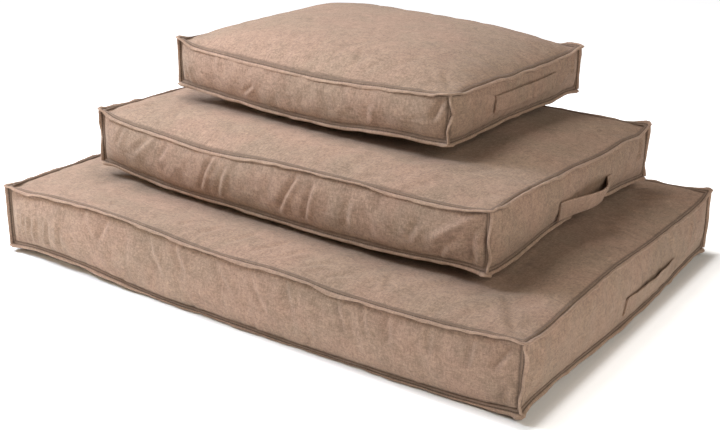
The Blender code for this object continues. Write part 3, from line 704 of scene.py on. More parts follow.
def flange(bed, name, seam, direction, length, closed, seed, pitch=0.003, taper=(0, 0)):
    """A flange swept along a seam. direction and length are given at the seam's own points."""
    s, param, total = resample(seam, closed, pitch)
    p = take(seam, param, closed)
    d = unit(take(direction, param, closed))
    size = take(length[:, None], param, closed)[:, 0]
    if closed:
        tangent = np.roll(p, -1, 0) - np.roll(p, 1, 0)
    else:
        tangent = np.gradient(p, axis=0)
    tangent = unit(tangent)
    side = unit(np.cross(tangent, d))
    d = unit(np.cross(side, tangent))
    lean = 0.26 * noise1(s / 0.055, seed) + 0.22 * noise1(s / 0.021, seed + 1)
    long = 1 + 0.10 * noise1(s / 0.034, seed + 2)
    thick = 1 + 0.13 * noise1(s / 0.013, seed + 3)
    if closed:  # close the noise up on itself
        ease = smooth(np.minimum(s, total - s) / 0.03)
        lean, long, thick = lean * ease, 1 + (long - 1) * ease, 1 + (thick - 1) * ease
    prof = flange_profile()
    m = len(prof)
    f = prof[:, 0][None, :] * (long * size)[:, None]
    t = prof[:, 1][None, :] * thick[:, None]
    bend = lean[:, None] * np.clip(prof[:, 0][None, :] / 0.012, 0, 1) ** 2 * 0.012
    stitch = 0.00022 * np.cos(2 * np.pi * s / 0.0048)[:, None] * np.exp(-((prof[:, 0][None, :] - 0.0033) / 0.0008) ** 2)
    t = t - np.sign(t) * np.maximum(0, stitch)
    verts = p[:, None] + d[:, None] * f[..., None] + side[:, None] * (t + bend)[..., None]
    n = len(p)
    verts = verts.reshape(-1, 3)
    faces, uvs = [], []
    run = np.concatenate([[0], np.cumsum(np.linalg.norm(np.diff(prof, axis=0), axis=1))])
    run = np.concatenate([run, [run[-1] + np.linalg.norm(prof[0] - prof[-1])]])
    last = n if closed else n - 1
    for i in range(last):
        j = (i + 1) % n
        s0, s1 = s[i], (s[j] if j else total)
        for k in range(m):
            k2 = (k + 1) % m
            faces.append((i * m + k, i * m + k2, j * m + k2, j * m + k))
            uvs += [(s0, run[k]), (s0, run[k + 1]), (s1, run[k + 1]), (s1, run[k])]
    if not closed:
        faces.append(tuple(range(m - 1, -1, -1)))
        faces.append(tuple((n - 1) * m + k for k in range(m)))
        uvs += [(0, 0)] * (2 * m)
    verts = bed.row(verts)
    if bed.name == "large":  # what would pass through the floor folds flat on it
        verts[:, 2] = soft_max(verts[:, 2], 0.0004 + 0.35 * np.maximum(verts[:, 2] + 0.006, 0), 0.0003)
    obj = link(name, verts, faces, uvs)
    flip_if_inside_out(obj)
    obj.data.materials.append(MATERIALS["flange"])
    return obj


def flip_if_inside_out(obj):
    mesh = obj.data
    mesh.calc_loop_triangles()
    co = np.array([v.co for v in mesh.vertices])
    tri = np.array([t.vertices[:] for t in mesh.loop_triangles])
    a, b, c = co[tri[:, 0]], co[tri[:, 1]], co[tri[:, 2]]
    if np.einsum("ij,ij->i", a, np.cross(b, c)).sum() < 0:
        mesh.flip_normals()


def ring_flange(bed, upper):
    """The flange round the top or the bottom, its corners drawn out into ears."""
    p, T = bed.p, (bed.T if upper else bed.B)
    k, k1 = (bed.nh, bed.nh - 1) if upper else (0, 1)
    ids, below = bed.W[:, k], bed.W[:, k1]
    seam = p[ids]
    inside = []
    for i, j in bed.ring:
        ii = min(max(i, 1), bed.nu - 1)
        jj = min(max(j, 1), bed.nv - 1)
        inside.append(T[ii, jj])
    out = unit(seam - p[np.array(inside)])
    up = unit(seam - p[below])
    share = (1.0, 0.12) if upper else (0.75, 1.0)
    wander = noise1(np.arange(len(seam)) / 9.0, bed.s["seed"] + 600 + upper)
    direction = unit(share[0] * out + (share[1] + 0.22 * wander)[:, None] * up)
    n = len(seam)
    arc = np.concatenate([[0], np.cumsum(np.linalg.norm(np.diff(np.concatenate([seam, seam[:1]]), axis=0), axis=1))])
    length = np.ones(n)
    corner_dir = []
    for r in bed.corners:  # out, here, is the way the panel's corner points
        i, j = bed.ring[r]
        out[r] = unit(seam[r] - p[T[min(max(i, 1), bed.nu - 1), min(max(j, 1), bed.nv - 1)]])
        d = np.abs(arc[:-1] - arc[r])
        d = np.minimum(d, arc[-1] - d)
        w = smooth(1 - d / 0.020)
        ear = out[r] + (bed.s["ears"][len(corner_dir)] if upper else 0.40) * up[r]
        corner_dir.append(unit(ear))
        direction = unit(direction * (1 - w[:, None]) + unit(ear) * w[:, None])
        length = np.maximum(length, 1 + 0.38 * smooth(1 - d / 0.015))
    name = f"{bed.name}_{'top' if upper else 'bottom'}_flange"
    seed = bed.s["seed"] + (300 if upper else 340)
    return flange(bed, name, seam, direction, length, True, seed), corner_dir


def corner_flange(bed, index, label, top_dir, low_dir):
    p, r = bed.p, bed.corners[index]
    n = len(bed.ring)
    col, before, after = bed.W[r], bed.W[(r - 1) % n], bed.W[(r + 1) % n]
    seam = p[col]
    direction = unit(unit(seam - p[before]) + unit(seam - p[after]))
    z = np.linspace(0, 1, len(seam))
    height = bed.zt - bed.zb
    h = bed.hs * height
    wt = smooth(1 - (height - h) / 0.026)[:, None] * 0.92
    wl = smooth(1 - h / 0.026)[:, None] * 0.92
    direction = unit(direction * (1 - wt - wl) + top_dir * wt + low_dir * wl)
    # it swings to one side and the other on its way up
    across = unit(np.cross(direction, (0, 0, 1)))
    swing = 0.75 * noise1(h / 0.034 + 0.4, bed.s["seed"] + 620 + index)
    direction = unit(direction + across * (swing * smooth(np.minimum(h, height - h) / 0.02))[:, None])
    fine = np.linspace(0, len(seam) - 1, 60)
    seam2 = take(seam, np.minimum(fine, len(seam) - 1.0001), False)
    seam2[:, 2] += np.linspace(-0.0022, 0.0018, 60)
    dir2 = take(direction, np.minimum(fine, len(seam) - 1.0001), False)
    seed = bed.s["seed"] + 400 + 7 * index
    return flange(bed, f"{bed.name}_corner_flange_{label}", seam2, dir2, np.ones(len(seam2)), False, seed)


# ------------------------------------------------------------------ straps
STRAPS = {
    # lift of the middle off the border, where along the strap it peaks, extra lift at the top edge, droop of the middle
    "large": dict(lift=0.0020, peak=0.5, tip=0.85, droop=0.001, wrinkle=0.0007, curl=0.006),
    "medium": dict(lift=0.0165, peak=0.75, tip=0.30, droop=0.003, wrinkle=0.0004, curl=0.0),
    "small": dict(lift=0.0012, peak=0.0, tip=0.20, droop=0.0005, wrinkle=0.0019, curl=0.0),
}


def strap_grid(bed):
    """Rings of the strap's section from its front end to its back end, in the bed's frame."""
    y0, y1, zc, half = bed.s["strap"]
    k = STRAPS[bed.name]
    rows = 61
    t = np.linspace(-1, 1, rows)
    y = (y0 + y1) / 2 + t * (y1 - y0) / 2
    ends = 0.86
    tt = np.clip(t / ends, -1, 1)
    arch = np.clip(1 - np.abs(tt) ** 2.2, 0, 1) ** 1.3
    arch = arch * (1 + 0.8 * k["peak"] * np.sin(np.pi * tt / 2))
    # the section, counter-clockwise: across the strap, and out from the border
    w = np.array([-1, -0.985, -0.93, -0.75, -0.4, 0, 0.4, 0.75, 0.93, 0.985, 1, 0.985, 0.93, 0.75, 0.4, 0, -0.4, -0.75, -0.93, -0.985])
    e = np.array([1.8, 2.9, 3.5, 3.7, 3.45, 3.4, 3.45, 3.7, 3.5, 2.9, 1.8, 0.9, 0.4, 0.35, 0.35, 0.35, 0.35, 0.35, 0.4, 0.9]) * MM
    height = bed.zt - bed.zb
    S = np.repeat((y / bed.b)[:, None], len(w), 1)
    droop = k["droop"] * arch
    Z = zc - droop[:, None] + half * w[None, :]
    H = (Z - bed.zb) / height
    base = bed.wall_point("right", S, H)
    true = base[..., 0].copy()
    calm = true.copy()
    for _ in range(60):
        pad = np.pad(calm, ((1, 1), (0, 0)), mode="edge")
        calm = 0.5 * calm + 0.25 * (pad[:-2] + pad[2:])
    mean = calm.mean(axis=1, keepdims=True)
    calm = mean + 0.55 * (calm - mean)
    free = smooth((1 - np.abs(t)) / 0.10)[:, None]
    base[..., 0] = soft_max(true, calm * free + true * (1 - free), 0.0004)
    base[..., 1] = y[:, None]
    base[..., 2] = Z
    seed = bed.s["seed"] + 500
    ripple = k["wrinkle"] * (
        noise2(y[:, None] / 0.016 + 0 * Z, (Z - zc) / 0.03, seed) + 0.6 * noise1(y / 0.009, seed + 1)[:, None]
    ) * smooth((1 - np.abs(t)) / 0.08)[:, None]
    lift = k["lift"] * arch[:, None] * (1 + k["tip"] * w[None, :])
    back = smooth((t - 0.55) / 0.4)[:, None] * k["curl"] * np.clip(w, 0, 1)[None, :]
    bump = 0.0009 * np.exp(-((np.abs(t) - 0.93) / 0.012) ** 2)[:, None] * (e[None, :] > 0.002)
    base[..., 0] += e[None, :] + lift + back * arch[:, None] + np.abs(ripple) + ripple * 0.4 * (e > 0.002)[None, :] - bump
    return t, base


def strap_half(bed, part, rings, t):
    name = f"{bed.name}_handle_{part}_half"
    n, m = rings.shape[:2]
    run = np.concatenate([[0], np.cumsum(np.linalg.norm(np.diff(np.concatenate([rings[0], rings[0][:1]]), axis=0), axis=1))])
    along = np.concatenate([[0], np.cumsum(np.linalg.norm(np.diff(rings[:, 5], axis=0), axis=1))])
    faces, uvs = [], []
    for i in range(n - 1):
        for k in range(m):
            faces.append((i * m + k, i * m + (k + 1) % m, (i + 1) * m + (k + 1) % m, (i + 1) * m + k))
            uvs += [(along[i], run[k]), (along[i], run[k + 1]), (along[i + 1], run[k + 1]), (along[i + 1], run[k])]
    faces.append(tuple(range(m - 1, -1, -1)))
    faces.append(tuple((n - 1) * m + k for k in range(m)))
    uvs += [(0, 0)] * (2 * m)
    obj = link(name, bed.row(rings.reshape(-1, 3)), faces, uvs)
    flip_if_inside_out(obj)
    obj.data.set_sharp_from_angle(angle=math.radians(55))
    obj.data.materials.append(MATERIALS["strap"])
    return obj


def stitches(bed, name, points, normals, tangents, length=0.0034, width=0.0006, body=None, mat="thread"):
    """Short rounded stitches lying on a surface, one small body each."""
    verts, faces = [], []
    section = [(0, 1), (0.87, 0.35), (0.87, -0.4), (0, -0.7), (-0.87, -0.4), (-0.87, 0.35)]
    for p, n, t in zip(points, normals, tangents):
        n, t = unit(n), unit(t)
        s = np.cross(t, n)
        start = len(verts)
        for a, k in ((-0.5, 0.45), (-0.32, 1.0), (0.32, 1.0), (0.5, 0.45)):
            for c, d in section:
                verts.append(p + t * a * length + (s * c + n * d) * width * k)
        for i in range(3):
            for k in range(6):
                faces.append((start + 6 * i + k, start + 6 * i + (k + 1) % 6, start + 6 * (i + 1) + (k + 1) % 6, start + 6 * (i + 1) + k))
        faces.append(tuple(start + k for k in range(5, -1, -1)))
        faces.append(tuple(start + 18 + k for k in range(6)))
    obj = link(name, bed.row(np.array(verts)), faces)
    obj.data.materials.append(MATERIALS[mat])
    return obj


# ------------------------------------------------------------------ zip
def zip_parts(bed):
    """The woven tape that shows in the slot, and the coil's teeth, at the back."""
    flat = {"large": 0.012, "medium": 0.012, "small": 0.010}[bed.name]
    face = bed.b + flat
    half = bed.zip_half
    xs = np.linspace(-half - 0.004, half + 0.004, 120)
    y_at = lambda x: bed.b + flat * (1 - np.abs(x / bed.a) ** 16)
    zs = np.array([-5.6, -3.4, -3.2, 3.2, 3.4, 5.6]) * MM
    lift = np.array([0, 0, 0.12, 0.12, 0, 0]) * MM
    outer = np.array([[(x, y_at(x) - 0.00195 + l, bed.zip_z + z) for z, l in zip(zs, lift)] for x in xs])
    inner = outer - (0, 0.0008, 0)
    n, m = outer.shape[:2]
    verts = np.concatenate([outer.reshape(-1, 3), inner.reshape(-1, 3)])
    faces, k = [], n * m
    for i in range(n - 1):
        for j in range(m - 1):
            a, b, c, d = i * m + j, (i + 1) * m + j, (i + 1) * m + j + 1, i * m + j + 1
            faces += [(d, c, b, a), (k + a, k + b, k + c, k + d)]
    for i in range(n - 1):
        a, b = i * m, (i + 1) * m
        faces += [(a, b, k + b, k + a), (b + m - 1, a + m - 1, k + a + m - 1, k + b + m - 1)]
    for j in range(m - 1):
        a, b = j, j + 1
        faces += [(b, a, k + a, k + b), ((n - 1) * m + a, (n - 1) * m + b, k + (n - 1) * m + b, k + (n - 1) * m + a)]
    tape = link(f"{bed.name}_zip_tape_woven", bed.row(verts), faces, smooth_faces=False)
    flip_if_inside_out(tape)
    tape.data.materials.append(MATERIALS["tape"])
    # teeth: bars that reach in from each side in turn
    verts, faces = [], []
    pitch = 0.0015
    count = int((2 * half - 0.004) / pitch)
    for i in range(count):
        x = -half + 0.002 + i * pitch
        up = 1 if i % 2 else -1
        y0 = y_at(x) - 0.00165
        ring = []
        for z, grow in ((-0.75, 0.75), (-0.45, 1.0), (2.2, 1.0), (2.7, 0.7)):
            start = len(verts)
            for dx, dy in ((-0.55, 0.35), (-0.40, 1.75), (0.0, 2.15), (0.40, 1.75), (0.55, 0.35), (0.0, 0.1)):
                verts.append((x + dx * grow * MM, y0 + (0.1 + (dy - 0.1) * grow) * MM, bed.zip_z + up * z * MM))
            ring.append(start)
        for a, b in zip(ring, ring[1:]):
            for k in range(6):
                f = (a + k, a + (k + 1) % 6, b + (k + 1) % 6, b + k)
                faces.append(f if up > 0 else f[::-1])
        cap0, cap1 = tuple(ring[0] + k for k in range(5, -1, -1)), tuple(ring[-1] + k for k in range(6))
        faces += [cap0 if up > 0 else cap0[::-1], cap1 if up > 0 else cap1[::-1]]
    coil = link(f"{bed.name}_zip_coil_teeth", bed.row(np.array(verts)), faces, smooth_faces=False)
    flip_if_inside_out(coil)
    coil.data.materials.append(MATERIALS["coil"])
    return tape, coil


# ------------------------------------------------------------------ materials
def new_material(name):
    mat = bpy.data.materials.new(name)
    mat.use_nodes = True
    return mat, mat.node_tree.nodes, mat.node_tree.links, mat.node_tree.nodes["Principled BSDF"]


def mix_colour(nodes, links, fac, a, b, kind="MIX"):
    node = nodes.new("ShaderNodeMix")
    node.data_type = "RGBA"
    node.blend_type = kind
    for socket, value in ((node.inputs[0], fac), (node.inputs[6], a), (node.inputs[7], b)):
        if isinstance(value, (int, float)):
            socket.default_value = value
        elif isinstance(value, tuple):
            socket.default_value = value
        else:
            links.new(value, socket)
    return node.outputs[2]


def math_node(nodes, links, op, a, b=None, c=None):
    node = nodes.new("ShaderNodeMath")
    node.operation = op
    for i, value in enumerate((a, b, c)):
        if value is None:
            continue
        if isinstance(value, (int, float)):
            node.inputs[i].default_value = value
        else:
            links.new(value, node.inputs[i])
    return node.outputs[0]


def noise_node(nodes, links, vector, scale, detail=2.0, rough=0.5, distort=0.0):
    node = nodes.new("ShaderNodeTexNoise")
    node.inputs["Scale"].default_value = scale
    node.inputs["Detail"].default_value = detail
    node.inputs["Roughness"].default_value = rough
    node.inputs["Distortion"].default_value = distort
    links.new(vector, node.inputs["Vector"])
    return node.outputs["Fac"]


def ramp(nodes, links, fac, stops):
    node = nodes.new("ShaderNodeValToRGB")
    while len(node.color_ramp.elements) < len(stops):
        node.color_ramp.elements.new(0.5)
    for element, (pos, value) in zip(node.color_ramp.elements, stops):
        element.position = pos
        element.color = value if isinstance(value, tuple) else (value, value, value, 1)
    links.new(fac, node.inputs["Fac"])
    return node.outputs["Color"]


def shade(colour, k):
    return tuple(c * k for c in colour[:3]) + (1.0,)


def cloth_material(name, base, weave=0.00085, grain=1.0, stitch_line=False, rub=0.0, painted_seam_shade=False):
    """Washed, brushed canvas: a plain weave under a short nap, clouded in colour as piece-dyed cloth is."""
    mat, nodes, links, bsdf = new_material(name)
    coords = nodes.new("ShaderNodeTexCoord")
    obj = coords.outputs["Object"]
    uv = coords.outputs["UV"]
    cloud = noise_node(nodes, links, obj, 7.0, 4.0, 0.6, 0.4)
    blotch = noise_node(nodes, links, obj, 40.0, 5.0, 0.70, 1.4)
    fleck = noise_node(nodes, links, obj, 210.0, 3.0, 0.65)
    nap = noise_node(nodes, links, obj, 760.0, 2.0, 0.7)
    warm, cool = (base[0] * 1.025, base[1] * 0.99, base[2] * 0.985, 1), (base[0] * 0.98, base[1] * 1.005, base[2] * 0.99, 1)
    colour = mix_colour(nodes, links, ramp(nodes, links, cloud, [(0.40, 0.0), (0.60, 1.0)]), cool, warm)
    slubs = []
    for scale in ((38.0, 900.0, 1.0), (900.0, 38.0, 1.0)):
        stretch = nodes.new("ShaderNodeVectorMath")
        stretch.operation = "MULTIPLY"
        links.new(uv, stretch.inputs[0])
        stretch.inputs[1].default_value = scale
        slubs.append(noise_node(nodes, links, stretch.outputs[0], 1.0, 2.0, 0.6))
    for field, low, high in ((cloud, 0.94, 1.06), (blotch, 0.78, 1.20), (fleck, 0.76, 1.24), (nap, 0.80, 1.20), (slubs[0], 0.86, 1.14), (slubs[1], 0.86, 1.14)):
        colour = mix_colour(nodes, links, 1.0, colour, ramp(nodes, links, field, [(0.25, low), (0.75, high)]), "MULTIPLY")
    if painted_seam_shade:
        # painted shade: the cloth is darkened within a few millimetres of every seam, where the crease falls into shade
        gap = nodes.new("ShaderNodeAttribute")
        gap.attribute_name = "seam_gap"
        near = ramp(nodes, links, math_node(nodes, links, "MULTIPLY", gap.outputs["Fac"], 100.0), [(0.0, 0.24), (0.28, 0.66), (0.70, 1.0)])
        colour = mix_colour(nodes, links, 1.0, colour, near, "MULTIPLY")
    # the weave, in the cloth's own directions
    split = nodes.new("ShaderNodeSeparateXYZ")
    links.new(uv, split.inputs[0])
    k = 2 * math.pi / weave
    jitter = math_node(nodes, links, "MULTIPLY", fleck, 2.2)
    warp = math_node(nodes, links, "SINE", math_node(nodes, links, "MULTIPLY_ADD", split.outputs[0], k, jitter))
    weft = math_node(nodes, links, "SINE", math_node(nodes, links, "MULTIPLY_ADD", split.outputs[1], k, jitter))
    cross = math_node(nodes, links, "MULTIPLY", warp, weft)
    lines = math_node(nodes, links, "MULTIPLY_ADD", cross, 0.5, 0.5)
    colour = mix_colour(nodes, links, 1.0, colour, ramp(nodes, links, lines, [(0.0, 0.93), (1.0, 1.06)]), "MULTIPLY")
    height = math_node(nodes, links, "MULTIPLY", lines, 0.35)
    height = math_node(nodes, links, "MULTIPLY_ADD", nap, 0.9 * grain, height)
    height = math_node(nodes, links, "MULTIPLY_ADD", fleck, 1.1 * grain, height)
    for slub in slubs:
        height = math_node(nodes, links, "MULTIPLY_ADD", slub, 0.5 * grain, height)
    if stitch_line:
        # thread in the groove, one stitch every 4.8 mm, on both faces of the flange
        across = split.outputs[1]
        dash = math_node(nodes, links, "SINE", math_node(nodes, links, "MULTIPLY", split.outputs[0], 2 * math.pi / 0.0048))
        dash = math_node(nodes, links, "GREATER_THAN", dash, -0.35)
        for centre in stitch_line:
            off = math_node(nodes, links, "ABSOLUTE", math_node(nodes, links, "SUBTRACT", across, centre))
            # painted shade: a dark line along each stitch groove of the flange
            groove = ramp(nodes, links, math_node(nodes, links, "MULTIPLY", off, 100.0), [(0.06, 0.30), (0.24, 1.0)])
            thread = math_node(nodes, links, "MULTIPLY", math_node(nodes, links, "LESS_THAN", off, 0.00035), dash)
            colour = mix_colour(nodes, links, 1.0, colour, groove, "MULTIPLY")
            colour = mix_colour(nodes, links, math_node(nodes, links, "MULTIPLY", thread, 0.7), colour, shade(base, 0.72))
            height = math_node(nodes, links, "MULTIPLY_ADD", thread, 1.2, height)
    if stitch_line:  # and painted shade where it meets the panels
        for centre in (0.0, stitch_line[0] + stitch_line[1]):
            off = math_node(nodes, links, "ABSOLUTE", math_node(nodes, links, "SUBTRACT", across, centre))
            root = ramp(nodes, links, math_node(nodes, links, "MULTIPLY", off, 100.0), [(0.22, 0.30), (0.50, 1.0)])
            colour = mix_colour(nodes, links, 1.0, colour, root, "MULTIPLY")
    if rub:
        # painted highlight: sharp convex ridges of flange and strap are made lighter, as if catching the light
        geo = nodes.new("ShaderNodeNewGeometry")
        edge = ramp(nodes, links, geo.outputs["Pointiness"], [(0.49, 0.0), (0.56, 1.0)])
        colour = mix_colour(nodes, links, math_node(nodes, links, "MULTIPLY", edge, rub), colour, shade(base, 1.35))
    bump = nodes.new("ShaderNodeBump")
    bump.inputs["Strength"].default_value = 0.55
    bump.inputs["Distance"].default_value = 0.0006
    links.new(height, bump.inputs["Height"])
    links.new(bump.outputs["Normal"], bsdf.inputs["Normal"])
    links.new(colour, bsdf.inputs["Base Color"])
    rough = math_node(nodes, links, "MULTIPLY_ADD", nap, 0.16, 0.80)
    links.new(rough, bsdf.inputs["Roughness"])
    bsdf.inputs["Specular IOR Level"].default_value = 0.18
    bsdf.inputs["Sheen Weight"].default_value = 0.12
    bsdf.inputs["Sheen Roughness"].default_value = 0.45
    bsdf.inputs["Sheen Tint"].default_value = (0.95, 0.86, 0.78, 1)
    return mat


def plain_material(name, base, rough, metallic=0.0, scale=300.0, depth=0.00008, variation=0.12):
    mat, nodes, links, bsdf = new_material(name)
    coords = nodes.new("ShaderNodeTexCoord")
    fine = noise_node(nodes, links, coords.outputs["Object"], scale, 3.0, 0.6)
    colour = ramp(nodes, links, fine, [(0.3, shade(base, 1 - variation)), (0.7, shade(base, 1 + variation))])
    links.new(colour, bsdf.inputs["Base Color"])
    links.new(math_node(nodes, links, "MULTIPLY_ADD", fine, 0.2, rough - 0.1), bsdf.inputs["Roughness"])
    bsdf.inputs["Metallic"].default_value = metallic
    bump = nodes.new("ShaderNodeBump")
    bump.inputs["Strength"].default_value = 0.5
    bump.inputs["Distance"].default_value = depth
    links.new(fine, bump.inputs["Height"])
    links.new(bump.outputs["Normal"], bsdf.inputs["Normal"])
    return mat


TAUPE = (0.310, 0.213, 0.158)
run_ = np.concatenate([[0], np.cumsum(np.linalg.norm(np.diff(flange_profile(), axis=0), axis=1))])
groove_at = (float(np.interp(3, [2, 3], [run_[3], run_[4]])), float(run_[-1] - (run_[4] + run_[3]) / 2 + 0.0))
MATERIALS = {
    "top": cloth_material("cover_top_cloth", TAUPE, painted_seam_shade=True),
    "border": cloth_material("cover_border_cloth", shade(TAUPE, 0.97)[:3], painted_seam_shade=True),
    "base": cloth_material("cover_base_cloth", shade(TAUPE, 0.9)[:3], painted_seam_shade=True),
    "flange": cloth_material("flange_cloth", shade(TAUPE, 1.03)[:3], stitch_line=groove_at, rub=0.25),
    "strap": cloth_material("strap_cloth", shade(TAUPE, 0.97)[:3], rub=0.15),
    "thread": plain_material("sewing_thread", shade(TAUPE, 0.8)[:3], 0.7, scale=900.0),
    "tape": plain_material("zip_tape_weave", (0.14, 0.10, 0.075), 0.85, scale=1400.0, depth=0.0002),
    "coil": plain_material("zip_coil_nylon", (0.11, 0.08, 0.06), 0.45, scale=200.0),
    "metal": plain_material("zip_satin_metal", (0.42, 0.38, 0.34), 0.35, metallic=1.0, scale=500.0),
    "liner": plain_material("liner_nonwoven", (0.78, 0.76, 0.72), 0.9, scale=700.0, depth=0.0003),
    "fill": plain_material("fibre_fill", (0.86, 0.86, 0.84), 0.95, scale=140.0, depth=0.001),
}

# ------------------------------------------------------------------ build
beds = {name: Bed(name, BEDS[name]) for name in ORDER}
trees = {}
FOLLOW = {}
for name in reversed(ORDER):
    bed = beds[name]
    p = bed.shape()
    above = {"large": "medium", "medium": "small"}.get(name)
    topside = bed.T.ravel()
    free = ~bed.seam[topside]
    if above:
        limit = press(bed, beds[above], trees[above]).ravel()
        p[topside[free], 2] = soft_min(p[topside[free], 2], limit[free], 0.0010)
    p = bed.relax(p)
    bed.limit = limit if above else np.ones(bed.T.size)
    bed.p = p
    body = name + "_bed"
    cover = cover_mesh(bed)
    solid = [cover]
    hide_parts(*[f"{name}_{n}" for n in ("top_panel", "bottom_panel", "front_border", "left_border", "right_border", "back_border_upper", "back_border_lower")])
    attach(cover, body)
    liner = inner_pillow(bed, "liner_bag", 0.0080, "liner")
    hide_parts(name + "_inner_liner")
    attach(liner, body)
    core = inner_pillow(bed, "fibre_core", 0.0100, "fill")
    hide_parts(name + "_fill_core")
    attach(core, body)
    ears = {}
    for upper in (True, False):
        piece, dirs = ring_flange(bed, upper)
        ears[upper] = dirs
        solid.append(piece)
        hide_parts(f"{name}_{'top' if upper else 'bottom'}_welt")
        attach(piece, body)
    for index, label in enumerate(("front_left", "front_right", "back_right", "back_left")):
        piece = corner_flange(bed, index, label, ears[True][index], ears[False][index])
        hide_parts(f"{name}_corner_welt_{label}")
        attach(piece, body)
    verts, faces = [], []
    for piece in solid:
        start = len(verts)
        verts += [v.co.copy() for v in piece.data.vertices]
        faces += [[start + i for i in f.vertices] for f in piece.data.polygons]
    trees[name] = BVHTree.FromPolygons(verts, faces)
    # the strap, as two halves that meet at its middle
    t, rings = strap_grid(bed)
    middle = len(t) // 2
    axis_at = next(j for j in frame["joints"] if j["name"] == name + "_handle_fold")["pos_m"]
    for part, rows in (("front", slice(0, middle + 1)), ("back", slice(middle, None))):
        piece = strap_half(bed, part, rings[rows], t[rows])
        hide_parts(name + "_handle_strap")
        y0, y1, zc, _ = bed.s["strap"]
        sign = -1 if part == "front" else 1
        yc, yh = (y0 + y1) / 2, (y1 - y0) / 2
        ends = bed.row(np.array([(bed.a, yc + sign * 0.84 * yh, zc), (bed.a, yc + sign * 0.12 * yh, zc)]))
        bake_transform(piece)
    # stitching across each sewn end of the strap
    for part, rows in (("front", (2, 4)), ("back", (len(t) - 3, len(t) - 5))):
        pts, nrm, tan = [], [], []
        for r in rows:
            face = rings[r][1:10]
            d = np.concatenate([[0], np.cumsum(np.linalg.norm(np.diff(face, axis=0), axis=1))])
            for s in np.arange(0.004, d[-1] - 0.003, 0.0042):
                pts.append([np.interp(s, d, face[:, k]) for k in range(3)])
                nrm.append((1, 0, 0.0))
                tan.append(face[-1] - face[0])
        piece = stitches(bed, f"{name}_handle_{part}_stitching", np.array(pts), np.array(nrm, float), np.array(tan))
        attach(piece, body)
    tape, coil = zip_parts(bed)
    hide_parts(name + "_zip_tape")
    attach(tape, body)
    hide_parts(name + "_zip_coil")
    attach(coil, body)
    for n in ("zip_slider", "zip_pull"):
        node = frame["nodes"][f"{name}_{n}"]
        node.data.materials.clear()
        node.data.materials.append(MATERIALS["metal"])
        bevel = node.modifiers.new("Bevel", "BEVEL")
        bevel.width = 0.00035
        bevel.segments = 3
        bevel.limit_method = "ANGLE"

# ------------------------------------------------------------------ camera, light, floor
camera_data = bpy.data.cameras.new("camera")
camera = bpy.data.objects.new("camera", camera_data)
scene.collection.objects.link(camera)
camera_data.sensor_width = 36.0
camera_data.lens = 59.95
camera_data.clip_end = 60.0
el, az, roll = math.radians(21.173), math.radians(33.862), math.radians(1.005)
back = Vector((math.sin(az) * math.cos(el), -math.cos(az) * math.cos(el), math.sin(el)))
right = (-back).cross(Vector((0, 0, 1))).normalized()
up = right.cross(-back)
right, up = math.cos(roll) * right + math.sin(roll) * up, -math.sin(roll) * right + math.cos(roll) * up
m = Matrix((right, up, back)).transposed().to_4x4()
m.translation = (1.30429 + SHIFT[0], -1.94672 + SHIFT[1], 0.98229 + 0.010)
camera.matrix_world = m
scene.camera = camera


def area(name, at, target, size, power, colour=(1, 1, 1)):
    data = bpy.data.lights.new(name, "AREA")
    data.shape = "RECTANGLE"
    data.size, data.size_y = size
    data.energy = power
    data.color = colour
    obj = bpy.data.objects.new(name, data)
    scene.collection.objects.link(obj)
    obj.location = at
    obj.rotation_euler = (Vector(target) - Vector(at)).to_track_quat("-Z", "Y").to_euler()
    return obj


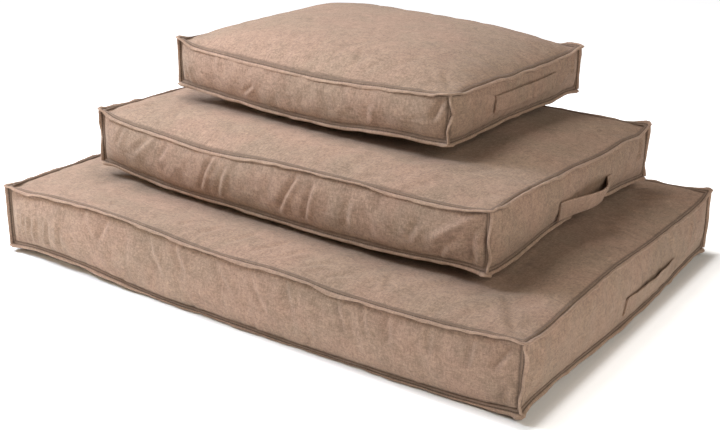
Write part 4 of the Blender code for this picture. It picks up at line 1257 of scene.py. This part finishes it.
LIGHTS = {  # where, aimed at, size, watts by colour
    "key": ((-1.62, -0.82, 1.56), (-0.12, 0.0, 0.25), 0.9, (53.0, 57.5, 64.5)),
    "front": ((-1.25, -1.70, 0.95), (-0.10, 0.0, 0.20), 0.9, (12.0, 10.0, 7.5)),
    "top": ((-0.42, 0.15, 2.05), (-0.10, 0.1, 0.30), 0.9, (23.0, 22.4, 21.8)),
    "right_top": ((0.95, 0.55, 2.20), (0.20, 0.1, 0.20), 1.2, (0.0, 0.0, 0.0)),
    "right_fill": ((2.40, -0.80, 1.60), (0.20, 0.0, 0.20), 1.6, (34.5, 32.0, 28.0)),
}
AMBIENT = (0.05, 0.05, 0.05)
# strength of the floor's painted glow
FLOOR_GLOW = 0.80
for name, (at, target, size, watts) in LIGHTS.items():
    power = max(watts)
    area(name + "_softbox", at, target, (size, size), power, tuple(w / max(power, 1e-9) for w in watts))
world = bpy.data.worlds.new("studio")
scene.world = world
world.use_nodes = True
world.node_tree.nodes["Background"].inputs["Color"].default_value = (*AMBIENT, 1)
world.node_tree.nodes["Background"].inputs["Strength"].default_value = 1.0
sky = world.node_tree.nodes
seen = sky.new("ShaderNodeBackground")
seen.inputs["Color"].default_value = (1, 1, 1, 1)
either, path = sky.new("ShaderNodeMixShader"), sky.new("ShaderNodeLightPath")
world.node_tree.links.new(path.outputs["Is Camera Ray"], either.inputs[0])
world.node_tree.links.new(sky["Background"].outputs[0], either.inputs[1])
world.node_tree.links.new(seen.outputs[0], either.inputs[2])
world.node_tree.links.new(either.outputs[0], sky["World Output"].inputs["Surface"])

floor = link("studio_floor", [(-14, -14, 0), (14, -14, 0), (14, 14, 0), (-14, 14, 0)], [(0, 1, 2, 3)], smooth_faces=False)
floor.location.z = -0.0006
mat, nodes, links, bsdf = new_material("pale_floor")
bsdf.inputs["Base Color"].default_value = (0.93, 0.93, 0.93, 1)
bsdf.inputs["Roughness"].default_value = 0.9
bsdf.inputs["Specular IOR Level"].default_value = 0.1
bsdf.inputs["Emission Color"].default_value = (1, 1, 1, 1)
coords = nodes.new("ShaderNodeTexCoord")
split = nodes.new("ShaderNodeSeparateXYZ")
links.new(coords.outputs["Object"], split.inputs[0])
# painted light: the floor glows as if lit, and the glow fades to nothing close round the pile so the ground there stays
# darker
beyond = [
    math_node(nodes, links, "SUBTRACT", math_node(nodes, links, "ABSOLUTE", split.outputs[k]), half)
    for k, half in ((0, 0.60), (1, 0.43))
]
away = math_node(nodes, links, "MAXIMUM", *beyond)
glow = ramp(nodes, links, math_node(nodes, links, "MULTIPLY", away, 0.4), [(0.003, 0.0), (0.010, 0.70), (0.05, 0.96), (0.4, 1.0)])
links.new(math_node(nodes, links, "MULTIPLY", glow, FLOOR_GLOW), bsdf.inputs["Emission Strength"])
floor.data.materials.append(mat)

scene.view_settings.view_transform = "Standard"
scene.view_settings.look = "None"
scene.view_settings.exposure = 0.0

bpy.context.view_layer.update()
